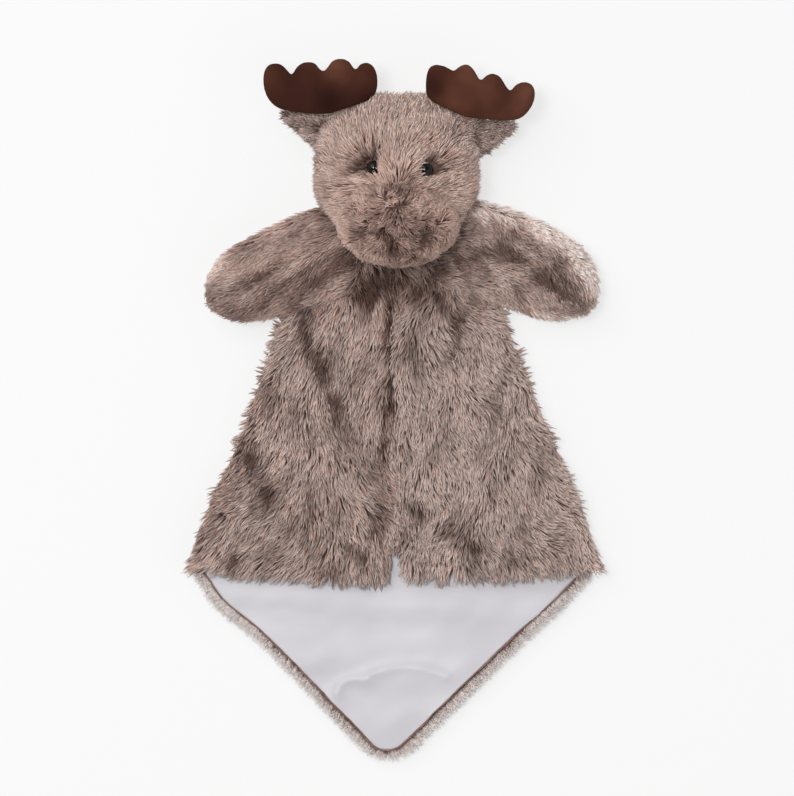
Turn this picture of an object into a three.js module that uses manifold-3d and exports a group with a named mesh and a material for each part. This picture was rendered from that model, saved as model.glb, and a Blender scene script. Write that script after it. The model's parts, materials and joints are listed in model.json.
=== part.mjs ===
// Moose comfort blanket, a baby's lovey, lying on its back as it is sold. A stuffed head with a muzzle, two
// ears and two antlers, and two stuffed arms, are sewn to the neck of a small square blanket of faux fur lined
// with satin. The blanket's two side corners are folded in to meet down the middle of the front, so that it
// makes an A-line coat whose two free flaps fold back like lapels, and the fourth corner shows its satin below.
// Millimetres. +Z is up out of the face, +Y runs towards the antlers and +X to the viewer's right.
// The origin is on the flat back, at the middle of the square blanket.
import * as THREE from "three";
import { mergeVertices } from "three/addons/utils/BufferGeometryUtils.js";
import Module from "manifold-3d";

const wasm = await Module();
wasm.setup();

// Clearances
const seamGap = 0.35; // between pieces that are sewn together
const jointGap = 0.5; // beside a seam that bends
const overrun = 5; // how far a cut runs past what it cuts

// Facets, around and from top to bottom, of the round pieces
const facets = {
  head: [22, 12],
  muzzle: [18, 10],
  hollow: [14, 8],
  dent: [12, 8],
  neck: 24,
  eye: 12,
  eyeDome: 4,
  post: 8,
  thread: [5, 20],
  arm: [5, 12],
  ear: [5, 5],
  front: [7, 14],
  roll: 6,
  rollCorner: 6,
  backCorner: 8,
  bevel: 2,
};

// Blanket, sizes over the fur
const blanketSide = 250;
const blanketCornerRadius = 18;
const foldLean = 19; // degrees that each side fold leans out from the middle line
const neckTop = 108; // the blanket's top edge, between the shoulders
const backFurThick = 5.4; // pile pressed flat and its backing
const backRoundShare = 1 / 3; // share of the back's thickness that its edges are rounded by
const satinThick = 0.6;
const flapThick = 5.4; // pile and backing of the front, at its fullest
const pileEdgeRadius = 9; // how wide the pile rounds off at a free edge
const pileEdgeShare = 0.55; // thickness left at a free edge
const foldedHeight = 14; // the four layers where they lie folded, at the pile's fullest
const hemInset = 5.5; // the turned edge of the satin, inside the tips of the pile
const hemRadius = 1.1;
const hemCornerRadius = 10;

// Front of the blanket: a chest held by the neck, the arms and the side folds, and two flaps that fold back
// about a line from the top of the slit to the outer end of the hem
const slitTop = 30; // how far below the blanket's top edge the slit opens
const flapOpenMost = 160;
const chestRise = 3; // how much the gathered chest stands above the flaps at the neck
const chestRiseReach = 45;
const pleatHeight = 1.3; // main folds that fan out from the neck
const pleatFan = 13; // degrees from one main fold to the next
const pleatReach = 150;

// Places on the head and arms, measured from the middle of the blanket's top edge
const headPlace = { x: 1.8, y: 20, z: 26 };
const muzzlePlace = { x: 4, y: -2, z: 40 };
const headLiftPlace = { x: 1.8, y: -20, z: 15 };
const eyesPlace = { x: 3.3, y: 25 };
const nostrilsPlace = { x: 3.8, y: -10 };
const antlerInnerPlace = { left: { x: -8.2, y: 52.8, z: 31 }, right: { x: 14.5, y: 53.4, z: 31 } };
const earRootPlace = { left: { x: -35.5, y: 38, z: 19.5 }, right: { x: 39.5, y: 37, z: 19.5 } };
const armSeamPlace = { y: -25 };
const armHandPlace = { left: { x: -76, y: -33 }, right: { x: 85.5, y: -33 } };
const armBendPlace = { left: { x: -62, y: -28 }, right: { x: 70, y: -23 } };

// Head
const headSize = { x: 88, y: 88, z: 52 };
const muzzleSize = { x: 67, y: 50, z: 54 };
const furThick = 6; // backing and pile of the head and muzzle
const neckHoleRadius = 15;
const neckDiscRadius = 13.2;
const neckThreadRadius = 0.45;
const neckLean = 48; // degrees from straight down, of the way that the neck leaves the head
const headLiftMost = 45;

// Eyes, pushed through the head cover and locked by washers inside
const eyeRadius = 3.6;
const eyeDome = 2.9;
const eyePostRadius = 1.3;
const eyePostLength = 10;
const eyeSunk = 4.4; // how deep the eye's rim sits in the pile
const eyeWasherRadius = 4.6;
const eyeWasherThick = 1.2;
const eyeClearance = 0.4;
const eyeAcross = 28; // from eye to eye

// Nostrils, pulled in by a few stitches
const nostrilAcross = 27;
const nostrilDentSize = { x: 13, y: 9, z: 10 };
const nostrilDentDepth = 3;
const nostrilThreadRadius = 0.8;
const nostrilThreadLength = 6;

// Antlers, flat stuffed pockets of brown suede cloth
const antlerLength = 57;
const antlerHeight = 26.5;
const antlerThick = 10;
const antlerEdge = 3.6; // how far in from its edge an antler is rounded
const suedeThick = 1;
const antlerTurn = { left: 0, right: -9.5 }; // degrees
const antlerFlop = { back: -12, forward: 25 };
// The outline from the inner end round by the tines, as shares of the length and height
const antlerOutlineShares = [
  [0.0, 0.47], [0.025, 0.74], [0.12, 0.93], [0.22, 0.84], [0.265, 0.92], [0.33, 1.0], [0.4, 0.93],
  [0.47, 0.76], [0.52, 0.87], [0.59, 0.945], [0.67, 0.87], [0.735, 0.69], [0.8, 0.84], [0.89, 0.925],
  [0.975, 0.8], [1.0, 0.58], [0.915, 0.27], [0.76, 0.07], [0.5, 0.0], [0.28, 0.05], [0.09, 0.19],
];
const antlerSteps = 28;
const antlerSeamShares = { inner: 0.03, outer: 0.36 }; // the stretch of the lower edge sewn to the head

// Ears, leaves of fur with a front and a back
const earLength = 25;
const earHalfWidth = 10.5;
const earThick = 6.5;
const earCup = 1.5; // how far the front is hollowed
const earCupShift = 0.2; // how far towards the root the hollow is deepest, as a share of the length
const earTipPower = 2.4; // how bluntly the leaf ends
const earBellyShare = 0.25; // how much wider the leaf is at its middle than at its root
const earLift = { left: 28, right: 16 }; // degrees that the tip points above the sideways line
const earFlop = { back: -15, forward: 25 };

// Arms
const armRootHalf = { wide: 25, high: 4 };
const armHandHalf = { wide: 19.5, high: 13 };
const armCapShares = [0.45, 0.8, 0.96]; // rings of the round hand, from its middle to its end
const armHollowShare = 0.66; // the hollow's size as a share of the arm's own
const armLiftMost = 60;

// Colours, as the pile shows them from a step away
const colours = {
  fur: 0x9c857c,
  furDark: 0x8a7067,
  satin: 0xd9d7dc,
  suede: 0x4a2f26,
  eye: 0x0b0a0b,
  washer: 0xe8e6e0,
  thread: 0x4f3a33,
  fill: 0xf4f2ee,
};

// Sizes worked out from the ones above
const leanSlope = Math.tan(THREE.MathUtils.degToRad(foldLean));
const halfDiagonal = blanketSide / Math.SQRT2;
const hemY = halfDiagonal - blanketSide;
const hemHalfWidth = blanketSide * (Math.SQRT2 - 1);
const liningBottom = backFurThick + seamGap;
const flapFurBottom = foldedHeight - flapThick;
const flapLiningTop = flapFurBottom - seamGap;
const lapelHeight = foldedHeight + jointGap;
const armSeamHeight = flapFurBottom + flapThick * pileEdgeShare;
const armSeamY = neckTop + armSeamPlace.y;
const vector = (size) => new THREE.Vector3(size.x, size.y, size.z || 0);
const fromNeck = (place) => vector(place).add(new THREE.Vector3(0, neckTop, 0));
const headCentre = fromNeck(headPlace);
const headRadii = vector(headSize).divideScalar(2);
const muzzleCentre = fromNeck(muzzlePlace);
const muzzleRadii = vector(muzzleSize).divideScalar(2);

// Half the blanket's folded width at a height y above the origin
function foldX(y) {
  return hemHalfWidth - (y - hemY) * leanSlope;
}

// A manifold solid from points and triangles, turned to face outwards
function solidFrom(points, triangles) {
  const vertProperties = new Float32Array(points);
  const build = (faces) =>
    new wasm.Manifold(new wasm.Mesh({ numProp: 3, vertProperties, triVerts: new Uint32Array(faces) }));
  const made = build(triangles);
  if (made.volume() > 0) return made;
  const turned = [];
  for (let i = 0; i < triangles.length; i += 3) turned.push(triangles[i], triangles[i + 2], triangles[i + 1]);
  return build(turned);
}

// A closed three.js geometry as a manifold solid
function solidOf(geometry) {
  const bare = new THREE.BufferGeometry();
  bare.setAttribute("position", geometry.getAttribute("position"));
  bare.setIndex(geometry.index);
  const merged = mergeVertices(bare);
  const corners = merged.index.array;
  const kept = [];
  for (let i = 0; i < corners.length; i += 3) {
    const [a, b, c] = corners.slice(i, i + 3);
    if (a !== b && b !== c && c !== a) kept.push(a, b, c);
  }
  return solidFrom(merged.getAttribute("position").array, kept);
}

// A named three.js mesh from a manifold solid
function meshOf(name, solid, colour, roughness) {
  const made = solid.getMesh();
  const geometry = new THREE.BufferGeometry();
  geometry.setAttribute("position", new THREE.BufferAttribute(made.vertProperties, 3));
  geometry.setIndex(new THREE.BufferAttribute(made.triVerts, 1));
  geometry.computeVertexNormals();
  const material = new THREE.MeshStandardMaterial({ color: colour, roughness, metalness: 0 });
  const mesh = new THREE.Mesh(geometry, material);
  mesh.name = name;
  return mesh;
}

// An ellipsoid, with its radii grown by some clearance
function ellipsoid(centre, radii, grown, [around, down]) {
  const ball = new THREE.SphereGeometry(1, around, down);
  ball.rotateX(Math.PI / 2);
  ball.scale(radii.x + grown, radii.y + grown, radii.z + grown);
  ball.translate(centre.x, centre.y, centre.z);
  return solidOf(ball);
}

// A closed skin through rings of points, each with as many points as the first, with both ends capped
function loft(rings) {
  const around = rings[0].length;
  const points = [];
  for (const ring of rings) for (const p of ring) points.push(p.x, p.y, p.z);
  const faces = [];
  for (let r = 0; r + 1 < rings.length; r++)
    for (let i = 0; i < around; i++) {
      const next = (i + 1) % around;
      const [a, b] = [r * around + i, r * around + next];
      faces.push(a, b, b + around, a, b + around, a + around);
    }
  for (let i = 1; i + 1 < around; i++) {
    const last = (rings.length - 1) * around;
    faces.push(0, i + 1, i, last, last + i, last + i + 1);
  }
  return solidFrom(points, faces);
}

// A slab over a grid: at(u, v) gives the place and the lower and upper height of the sheet there
function slab(columns, rows, at) {
  const points = [];
  for (let side = 0; side < 2; side++)
    for (let j = 0; j <= rows; j++)
      for (let i = 0; i <= columns; i++) {
        const spot = at(i / columns, j / rows);
        points.push(spot.x, spot.y, side ? spot.high : spot.low);
      }
  const count = (columns + 1) * (rows + 1);
  const index = (side, i, j) => side * count + j * (columns + 1) + i;
  const faces = [];
  const quad = (a, b, c, d) => faces.push(a, b, c, a, c, d);
  for (let j = 0; j < rows; j++)
    for (let i = 0; i < columns; i++) {
      quad(index(1, i, j), index(1, i + 1, j), index(1, i + 1, j + 1), index(1, i, j + 1));
      quad(index(0, i, j), index(0, i, j + 1), index(0, i + 1, j + 1), index(0, i + 1, j));
    }
  for (let i = 0; i < columns; i++) {
    quad(index(0, i, 0), index(0, i + 1, 0), index(1, i + 1, 0), index(1, i, 0));
    quad(index(0, i + 1, rows), index(0, i, rows), index(1, i, rows), index(1, i + 1, rows));
  }
  for (let j = 0; j < rows; j++) {
    quad(index(0, 0, j + 1), index(0, 0, j), index(1, 0, j), index(1, 0, j + 1));
    quad(index(0, columns, j), index(0, columns, j + 1), index(1, columns, j + 1), index(1, columns, j));
  }
  return solidFrom(points, faces);
}

// A hinge: a point on its line, the line's direction, and the turns it makes, in degrees
function hinge(point, direction, turns) {
  return { point, direction: direction.clone().normalize(), turns };
}

function turned(solid, joint, degrees) {
  const { x, y, z } = joint.point;
  const matrix = new THREE.Matrix4()
    .makeTranslation(x, y, z)
    .multiply(new THREE.Matrix4().makeRotationAxis(joint.direction, THREE.MathUtils.degToRad(degrees)))
    .multiply(new THREE.Matrix4().makeTranslation(-x, -y, -z));
  return solid.transform(matrix.elements);
}

// What is left of a moving piece when a neighbour is cut from it at rest and all through its travel
function clearOf(piece, neighbour, joint) {
  return joint.turns.reduce((left, degrees) => left.subtract(turned(neighbour, joint, -degrees)), piece);
}

// What is left of a fixed piece when a moving neighbour is cut from it all through the neighbour's travel
function clearOfMoving(piece, mover, joint) {
  return joint.turns.reduce((left, degrees) => left.subtract(turned(mover, joint, degrees)), piece);
}

// The heaviest body of a cut piece, without the slivers that a cut can leave
function mainBody(solid) {
  return solid.decompose().reduce((best, body) => (body.volume() > best.volume() ? body : best));
}

// How full a rounded edge is at a distance in from it
function edgeFullness(distance, radius) {
  const share = Math.min(1, Math.max(0, distance / radius));
  return Math.sqrt(share * (2 - share));
}

// The direction of a side fold from the hem up to the neck; side is -1 for the viewer's left, 1 for the right
function foldDirection(side) {
  return new THREE.Vector3(-side * leanSlope, 1, 0).normalize();
}

const foldPoint = (side, y) => new THREE.Vector3(side * foldX(y), y, foldedHeight / 2);
const headLift = hinge(
  fromNeck(headLiftPlace),
  new THREE.Vector3(1, 0, 0),
  [0, headLiftMost / 3, (2 * headLiftMost) / 3, headLiftMost],
);
const sides = { left: -1, right: 1 };

// Solids of the head and muzzle, as they are and grown by the seams' clearance
const headOuter = ellipsoid(headCentre, headRadii, 0, facets.head);
const headKeepOff = ellipsoid(headCentre, headRadii, seamGap, facets.head);
const muzzleKeepOff = ellipsoid(muzzleCentre, muzzleRadii, seamGap, facets.muzzle);
const faceKeepOff = headKeepOff.add(muzzleKeepOff);

// Height of the front of the blanket: its pile rounds off at free edges, and folds fan out from the neck
function frontHeight(x, y, edgeDistance) {
  const fullness = pileEdgeShare + (1 - pileEdgeShare) * edgeFullness(edgeDistance, pileEdgeRadius);
  const fromNeck = Math.hypot(x, neckTop - y);
  const fan = THREE.MathUtils.radToDeg(Math.atan2(x, neckTop - y));
  const fade = Math.max(0, 1 - fromNeck / pleatReach) * Math.min(1, fromNeck / chestRiseReach);
  const pleat = pleatHeight * fade * (Math.cos((2 * Math.PI * fan) / pleatFan) - 1);
  const rise = chestRise * Math.max(0, 1 - fromNeck / chestRiseReach);
  return flapFurBottom + flapThick * fullness + pleat + rise;
}

// One side of the front, from the neck down to the hem, drawn in from the hem and from the middle
function frontPatch(side, low, high, inset) {
  return (u, v) => {
    const y = THREE.MathUtils.lerp(neckTop, hemY + inset.hem, v);
    const x = side * THREE.MathUtils.lerp(foldX(y) - jointGap, inset.middle, u);
    return { x, y, low, high: high(x, y) };
  };
}

// The line about which a flap folds back, from the top of the slit to the outer end of the hem
function lapel(side) {
  const top = new THREE.Vector3(0, neckTop - slitTop, lapelHeight);
  const end = new THREE.Vector3(side * hemHalfWidth, hemY, lapelHeight);
  const turns = [0, 1, 2, 3, 4, 5, 6, 7, 8].map((step) => (flapOpenMost * step) / 8);
  return hinge(top, end.sub(top).multiplyScalar(-side), turns);
}

// A block that covers all of one side of the front that can fold back, moved off the lapel line by a gap
function flapBlock(side, gap) {
  const { point, direction } = lapel(side);
  const across = new THREE.Vector3(-direction.y, direction.x, 0);
  const reach = neckTop - hemY;
  const block = new THREE.BoxGeometry(2 * reach, reach, reach);
  block.rotateZ(Math.atan2(direction.y, direction.x));
  const centre = point.clone().addScaledVector(across, reach / 2 + gap);
  block.translate(centre.x, centre.y, centre.z);
  return solidOf(block);
}

// One side of the front: its fur and its satin, each cut along the lapel line into chest and flap
function frontParts(side) {
  const edgeDistance = (x, y) => Math.min(Math.abs(x) - jointGap, foldX(y) - Math.abs(x), y - hemY);
  const high = (x, y) => frontHeight(x, y, edgeDistance(x, y));
  const fur = slab(...facets.front, frontPatch(side, flapFurBottom, high, { hem: 0, middle: jointGap }));
  const inset = { hem: hemInset, middle: hemInset };
  const satin = slab(1, 1, frontPatch(side, flapLiningTop - satinThick, () => flapLiningTop, inset));
  const [free, held] = [flapBlock(side, jointGap / 2), flapBlock(side, -jointGap / 2)];
  const otherSide = new THREE.BoxGeometry(blanketSide, 2 * blanketSide, blanketSide);
  otherSide.translate((-side * blanketSide) / 2, 0, 0);
  const swung = (solid) => clearOf(solid.intersect(free), solidOf(otherSide), lapel(side));
  const flap = (solid) => mainBody(clearOfMoving(swung(solid), faceKeepOff, headLift));
  const chest = (solid) => mainBody(clearOfMoving(solid.subtract(held), faceKeepOff, headLift));
  const flapFur = flap(fur);
  return {
    flapFur,
    flapSatin: flap(satin),
    chestFur: mainBody(clearOfMoving(chest(fur), flapFur, lapel(side))),
    chestSatin: chest(satin),
  };
}

// The outline of the back: shoulders, side folds and the round bottom corner, drawn in by an inset
function backOutline(inset, cornerRadius) {
  const lean = THREE.MathUtils.degToRad(foldLean);
  const sideIn = inset / Math.cos(lean);
  const cornerY = -halfDiagonal + inset * Math.SQRT2;
  const tangentY = cornerY + cornerRadius / Math.SQRT2;
  const arcCentreY = cornerY + cornerRadius * Math.SQRT2;
  // where the side fold's line meets the hem edge's line, both drawn in
  const meetY = (hemHalfWidth - sideIn + hemY * leanSlope + cornerY) / (1 + leanSlope);
  const meetX = meetY - cornerY;
  const topY = neckTop - inset;
  const shape = new THREE.Shape();
  shape.moveTo(-(foldX(topY) - sideIn), topY);
  shape.lineTo(-meetX, meetY);
  shape.lineTo(-(tangentY - cornerY), tangentY);
  shape.absarc(0, arcCentreY, cornerRadius, (-3 * Math.PI) / 4, -Math.PI / 4, false);
  shape.lineTo(meetX, meetY);
  shape.lineTo(foldX(topY) - sideIn, topY);
  shape.closePath();
  return shape;
}

// The back: fur outside, lying flat on its pile, and satin inside
function backParts() {
  const roundedBy = backFurThick * backRoundShare;
  const fur = new THREE.ExtrudeGeometry(backOutline(jointGap, blanketCornerRadius), {
    depth: backFurThick - 2 * roundedBy,
    bevelThickness: roundedBy,
    bevelSize: roundedBy,
    bevelOffset: -roundedBy,
    bevelSegments: facets.bevel,
    curveSegments: facets.backCorner,
  });
  fur.translate(0, 0, roundedBy);
  const rollHalf = hemRadius + seamGap;
  const satin = new THREE.ExtrudeGeometry(backOutline(hemInset + rollHalf, hemCornerRadius - rollHalf), {
    depth: satinThick,
    bevelEnabled: false,
    curveSegments: facets.backCorner,
  });
  satin.translate(0, 0, liningBottom);
  const cut = (geometry) => mainBody(solidOf(geometry).subtract(faceKeepOff));
  return { fur: cut(fur), satin: cut(satin) };
}

// The turned edge that frames the satin corner: a thin roll from one end of the hem round to the other
function hemRoll() {
  const cornerY = -halfDiagonal + hemInset * Math.SQRT2;
  const startY = hemY - hemRadius - jointGap;
  const arcCentre = new THREE.Vector3(0, cornerY + hemCornerRadius * Math.SQRT2, liningBottom + hemRadius);
  const points = [new THREE.Vector3(cornerY - startY, startY, arcCentre.z)];
  for (let step = 0; step <= facets.rollCorner; step++) {
    const turn = (Math.PI / 2) * (step / facets.rollCorner - 1.5);
    const spoke = new THREE.Vector3(Math.cos(turn), Math.sin(turn), 0).multiplyScalar(hemCornerRadius);
    points.push(spoke.add(arcCentre));
  }
  points.push(new THREE.Vector3(startY - cornerY, startY, arcCentre.z));
  const rings = points.map((point, i) => {
    const [before, after] = [points[Math.max(0, i - 1)], points[Math.min(points.length - 1, i + 1)]];
    const aside = new THREE.Vector3(before.y - after.y, after.x - before.x, 0).setLength(hemRadius);
    const up = new THREE.Vector3(0, 0, hemRadius);
    const angles = Array.from({ length: facets.roll }, (_, k) => (2 * Math.PI * k) / facets.roll);
    const onRing = (a) => point.clone().addScaledVector(aside, Math.cos(a)).addScaledVector(up, Math.sin(a));
    return angles.map(onRing);
  });
  return loft(rings);
}

// A stuffed arm as rings from its flat shoulder seam to its round hand, at a share of its full girth
function armRings(name, share) {
  const side = sides[name];
  const start = foldPoint(side, armSeamY);
  const [bend, hand] = [fromNeck(armBendPlace[name]), fromNeck(armHandPlace[name])];
  const flat = (point) => new THREE.Vector2(point.x, point.y);
  const spine = new THREE.QuadraticBezierCurve(flat(start), flat(bend), flat(hand));
  const along = foldDirection(side);
  const [stations, around] = facets.arm;
  const rings = [];
  const ringAt = (centre, across, wide, high, height) => {
    const ring = [];
    for (let i = 0; i < around; i++) {
      const angle = (2 * Math.PI * i) / around;
      const [c, s] = [wide * Math.cos(angle), high * Math.sin(angle)];
      ring.push(new THREE.Vector3(centre.x + across.x * c, centre.y + across.y * c, height + s));
    }
    rings.push(ring);
  };
  for (let i = 0; i <= stations; i++) {
    const t = i / stations;
    const centre = spine.getPoint(t);
    const ahead = spine.getTangent(t);
    const square = new THREE.Vector2(side * ahead.y, -side * ahead.x).multiplyScalar(-1);
    const across = new THREE.Vector2(along.x, along.y).lerp(square, Math.min(1, 2 * t)).normalize();
    if (i === 0) centre.x += side * jointGap;
    const swell = Math.sin((Math.PI / 2) * t);
    const wide = THREE.MathUtils.lerp(armRootHalf.wide, armHandHalf.wide, swell);
    const high = THREE.MathUtils.lerp(armRootHalf.high, armHandHalf.high, swell);
    const height = THREE.MathUtils.lerp(foldedHeight / 2, armHandHalf.high, swell);
    ringAt(centre, across, wide * share, high * share, height);
  }
  const ahead = spine.getTangent(1);
  const square = new THREE.Vector2(side * ahead.y, -side * ahead.x).multiplyScalar(-1);
  for (const capShare of armCapShares) {
    const reach = armHandHalf.wide * share * capShare;
    const shrink = Math.sqrt(1 - capShare * capShare);
    const centre = flat(hand).addScaledVector(ahead, reach);
    const [wide, high] = [armHandHalf.wide * share * shrink, armHandHalf.high * share * shrink];
    ringAt(centre, square, wide, high, armHandHalf.high);
  }
  return rings;
}

// An arm's fur cover, open at the shoulder, and the fibre inside it, both clear of the body as the arm lifts
function armParts(name, neighbours) {
  const side = sides[name];
  const lift = hinge(
    foldPoint(side, armSeamY).setZ(armSeamHeight),
    foldDirection(side).multiplyScalar(-side),
    [0, armLiftMost / 4, armLiftMost / 2, (3 * armLiftMost) / 4, armLiftMost],
  );
  const outer = loft(armRings(name, 1));
  const inside = armRings(name, armHollowShare);
  const mouth = inside[0].map((p) => p.clone().setX(p.x - side * overrun));
  const hollow = loft([mouth, ...inside]);
  const fill = loft(armRings(name, armHollowShare - seamGap / armRootHalf.high));
  const clear = (solid) => mainBody(neighbours.reduce((left, n) => clearOf(left, n, lift), solid));
  return { cover: clear(outer.subtract(hollow)), fill: clear(fill) };
}

// The way that the neck leaves the head: down and towards the blanket
function neckDirection() {
  const lean = THREE.MathUtils.degToRad(neckLean);
  return new THREE.Vector3(0, -Math.sin(lean), -Math.cos(lean));
}

// A round bar of a radius, from a point along a direction
function bar(radius, start, direction, length, around) {
  const cylinder = new THREE.CylinderGeometry(radius, radius, length, around);
  cylinder.translate(0, length / 2, 0);
  cylinder.applyQuaternion(new THREE.Quaternion().setFromUnitVectors(new THREE.Vector3(0, 1, 0), direction));
  cylinder.translate(start.x, start.y, start.z);
  return solidOf(cylinder);
}

// Where a line from an ellipsoid's centre leaves it, and the way its surface faces there
function surfaceAt(centre, radii, x, y) {
  const [dx, dy] = [(x - centre.x) / radii.x, (y - centre.y) / radii.y];
  const dz = Math.sqrt(Math.max(0, 1 - dx * dx - dy * dy));
  const point = new THREE.Vector3(x, y, centre.z + radii.z * dz);
  const normal = new THREE.Vector3(dx / radii.x, dy / radii.y, dz / radii.z).normalize();
  return { point, normal };
}

// A pushed-in eye as a turned solid: a domed button with a post behind it
function eyeSolid(seat, normal) {
  const dome = [];
  for (let i = 0; i <= facets.eyeDome; i++) {
    const angle = (Math.PI / 2) * (i / facets.eyeDome);
    dome.push(new THREE.Vector2(eyeRadius * Math.cos(angle), eyeDome * Math.sin(angle)));
  }
  const post = [new THREE.Vector2(0, -eyePostLength), new THREE.Vector2(eyePostRadius, -eyePostLength)];
  const profile = [...post, new THREE.Vector2(eyePostRadius, 0), ...dome];
  profile[profile.length - 1].x = 0;
  const lathe = new THREE.LatheGeometry(profile, facets.eye);
  lathe.applyQuaternion(new THREE.Quaternion().setFromUnitVectors(new THREE.Vector3(0, 1, 0), normal));
  lathe.translate(seat.x, seat.y, seat.z);
  return solidOf(lathe);
}

// The head: fur cover, fibre inside, eyes with their washers, and the disc that closes the neck
function headParts() {
  const inner = ellipsoid(headCentre, headRadii, -furThick, facets.hollow);
  let cover = headOuter.subtract(inner);
  let fill = ellipsoid(headCentre, headRadii, -furThick - seamGap, facets.hollow);
  const neck = neckDirection();
  const longest = headRadii.x + headRadii.y;
  cover = cover.subtract(bar(neckHoleRadius, headCentre, neck, longest, facets.neck));
  const plug = bar(neckDiscRadius, headCentre, neck, longest, facets.neck);
  const disc = headOuter.subtract(inner).intersect(plug);
  const parts = { disc: mainBody(disc) };
  for (const [name, side] of Object.entries(sides)) {
    const eyes = fromNeck(eyesPlace);
    const { point, normal } = surfaceAt(headCentre, headRadii, eyes.x + (side * eyeAcross) / 2, eyes.y);
    const seat = point.clone().addScaledVector(normal, -eyeSunk);
    parts[`eye_${name}`] = eyeSolid(seat, normal);
    cover = cover.subtract(bar(eyeRadius + eyeClearance, seat, normal, eyeSunk + overrun, facets.eye));
    const back = seat.clone().addScaledVector(normal, -eyePostLength - overrun);
    const hole = bar(eyePostRadius + seamGap, back, normal, eyePostLength + 2 * overrun, facets.post);
    cover = cover.subtract(hole);
    const depth = furThick - eyeSunk + eyeClearance + eyeWasherThick;
    const washerBack = seat.clone().addScaledVector(normal, -depth);
    const washer = bar(eyeWasherRadius, washerBack, normal, eyeWasherThick, facets.eye);
    parts[`eye_washer_${name}`] = washer.subtract(hole);
    const pocketRadius = eyeWasherRadius + eyeClearance;
    const pocket = bar(pocketRadius, back, normal, eyePostLength + overrun, facets.eye);
    cover = cover.subtract(bar(pocketRadius, washerBack, normal, eyeWasherThick + seamGap, facets.eye));
    fill = fill.subtract(pocket);
  }
  return { ...parts, cover: mainBody(cover), fill: mainBody(fill) };
}

// Strong thread drawn round the neck disc, in the hole's edge, half way through the head's wall
function neckThread() {
  const radius = (neckHoleRadius + neckDiscRadius) / 2;
  const thread = new THREE.TorusGeometry(radius, neckThreadRadius, ...facets.thread);
  const neck = neckDirection();
  const turn = new THREE.Quaternion().setFromUnitVectors(new THREE.Vector3(0, 0, 1), neck);
  const middle = headRadii.clone().subScalar(furThick / 2);
  const places = thread.getAttribute("position");
  const spot = new THREE.Vector3();
  for (let i = 0; i < places.count; i++) {
    spot.fromBufferAttribute(places, i);
    const foot = new THREE.Vector3(spot.x, spot.y, 0).setLength(radius).applyQuaternion(turn).divide(middle);
    const along = neck.clone().divide(middle);
    const [a, b, c] = [along.lengthSq(), foot.dot(along), foot.lengthSq() - 1];
    spot.z += (Math.sqrt(b * b - a * c) - b) / a;
    places.setXYZ(i, spot.x, spot.y, spot.z);
  }
  thread.applyQuaternion(turn);
  thread.translate(headCentre.x, headCentre.y, headCentre.z);
  return solidOf(thread);
}

// The muzzle: fur cover sewn to the face, fibre inside it, and the stitches that pull in the nostrils
function muzzleParts() {
  const outer = ellipsoid(muzzleCentre, muzzleRadii, 0, facets.muzzle);
  const inner = ellipsoid(muzzleCentre, muzzleRadii, -furThick, facets.hollow);
  let cover = outer.subtract(inner).subtract(headKeepOff);
  const room = ellipsoid(muzzleCentre, muzzleRadii, -furThick - seamGap, facets.hollow);
  const fill = room.subtract(headKeepOff);
  const parts = {};
  for (const [name, side] of Object.entries(sides)) {
    const nostrils = fromNeck(nostrilsPlace);
    const x = nostrils.x + (side * nostrilAcross) / 2;
    const { point, normal } = surfaceAt(muzzleCentre, muzzleRadii, x, nostrils.y);
    const dentRadii = vector(nostrilDentSize).divideScalar(2);
    cover = cover.subtract(ellipsoid(point, dentRadii, 0, facets.dent));
    const floor = dentRadii.z - nostrilThreadRadius - seamGap;
    const bottom = point.clone().addScaledVector(normal, -Math.min(floor, nostrilDentDepth));
    const sideways = new THREE.Vector3(1, 0, 0).projectOnPlane(normal).normalize();
    const start = bottom.addScaledVector(sideways, -nostrilThreadLength / 2);
    const stitch = bar(nostrilThreadRadius, start, sideways, nostrilThreadLength, facets.post);
    parts[`nostril_stitch_${name}`] = stitch;
  }
  return { ...parts, cover: mainBody(cover), fill: mainBody(fill) };
}

// An antler's outline as a smooth closed curve, flat, in its own frame
function antlerShape() {
  const place = ([x, y]) => new THREE.Vector3(x * antlerLength, y * antlerHeight, 0);
  const points = antlerOutlineShares.map(place);
  const curve = new THREE.CatmullRomCurve3(points, true, "centripetal");
  const outline = curve.getSpacedPoints(antlerSteps).slice(0, -1);
  return new THREE.Shape(outline.map((p) => new THREE.Vector2(p.x, p.y)));
}

// An antler's pillow: its outline, drawn in by a skin, with rounded edges
function antlerPillow(name, skin) {
  const edge = antlerEdge - skin;
  const half = antlerThick / 2 - skin;
  const pillow = new THREE.ExtrudeGeometry(antlerShape(), {
    depth: 2 * (half - edge),
    bevelThickness: edge,
    bevelSize: edge,
    bevelOffset: -edge - skin,
    bevelSegments: facets.bevel,
    curveSegments: 1,
  });
  pillow.translate(0, 0, edge - half);
  return placeAntler(solidOf(pillow), name);
}

// Moves an antler from its own frame, drawn for the right of the head, to its place
function placeAntler(solid, name) {
  const inner = fromNeck(antlerInnerPlace[name]);
  const matrix = new THREE.Matrix4()
    .makeTranslation(inner.x, inner.y, inner.z)
    .multiply(new THREE.Matrix4().makeRotationZ(THREE.MathUtils.degToRad(antlerTurn[name])))
    .multiply(new THREE.Matrix4().makeScale(sides[name], 1, 1));
  return solid.transform(matrix.elements);
}

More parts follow.
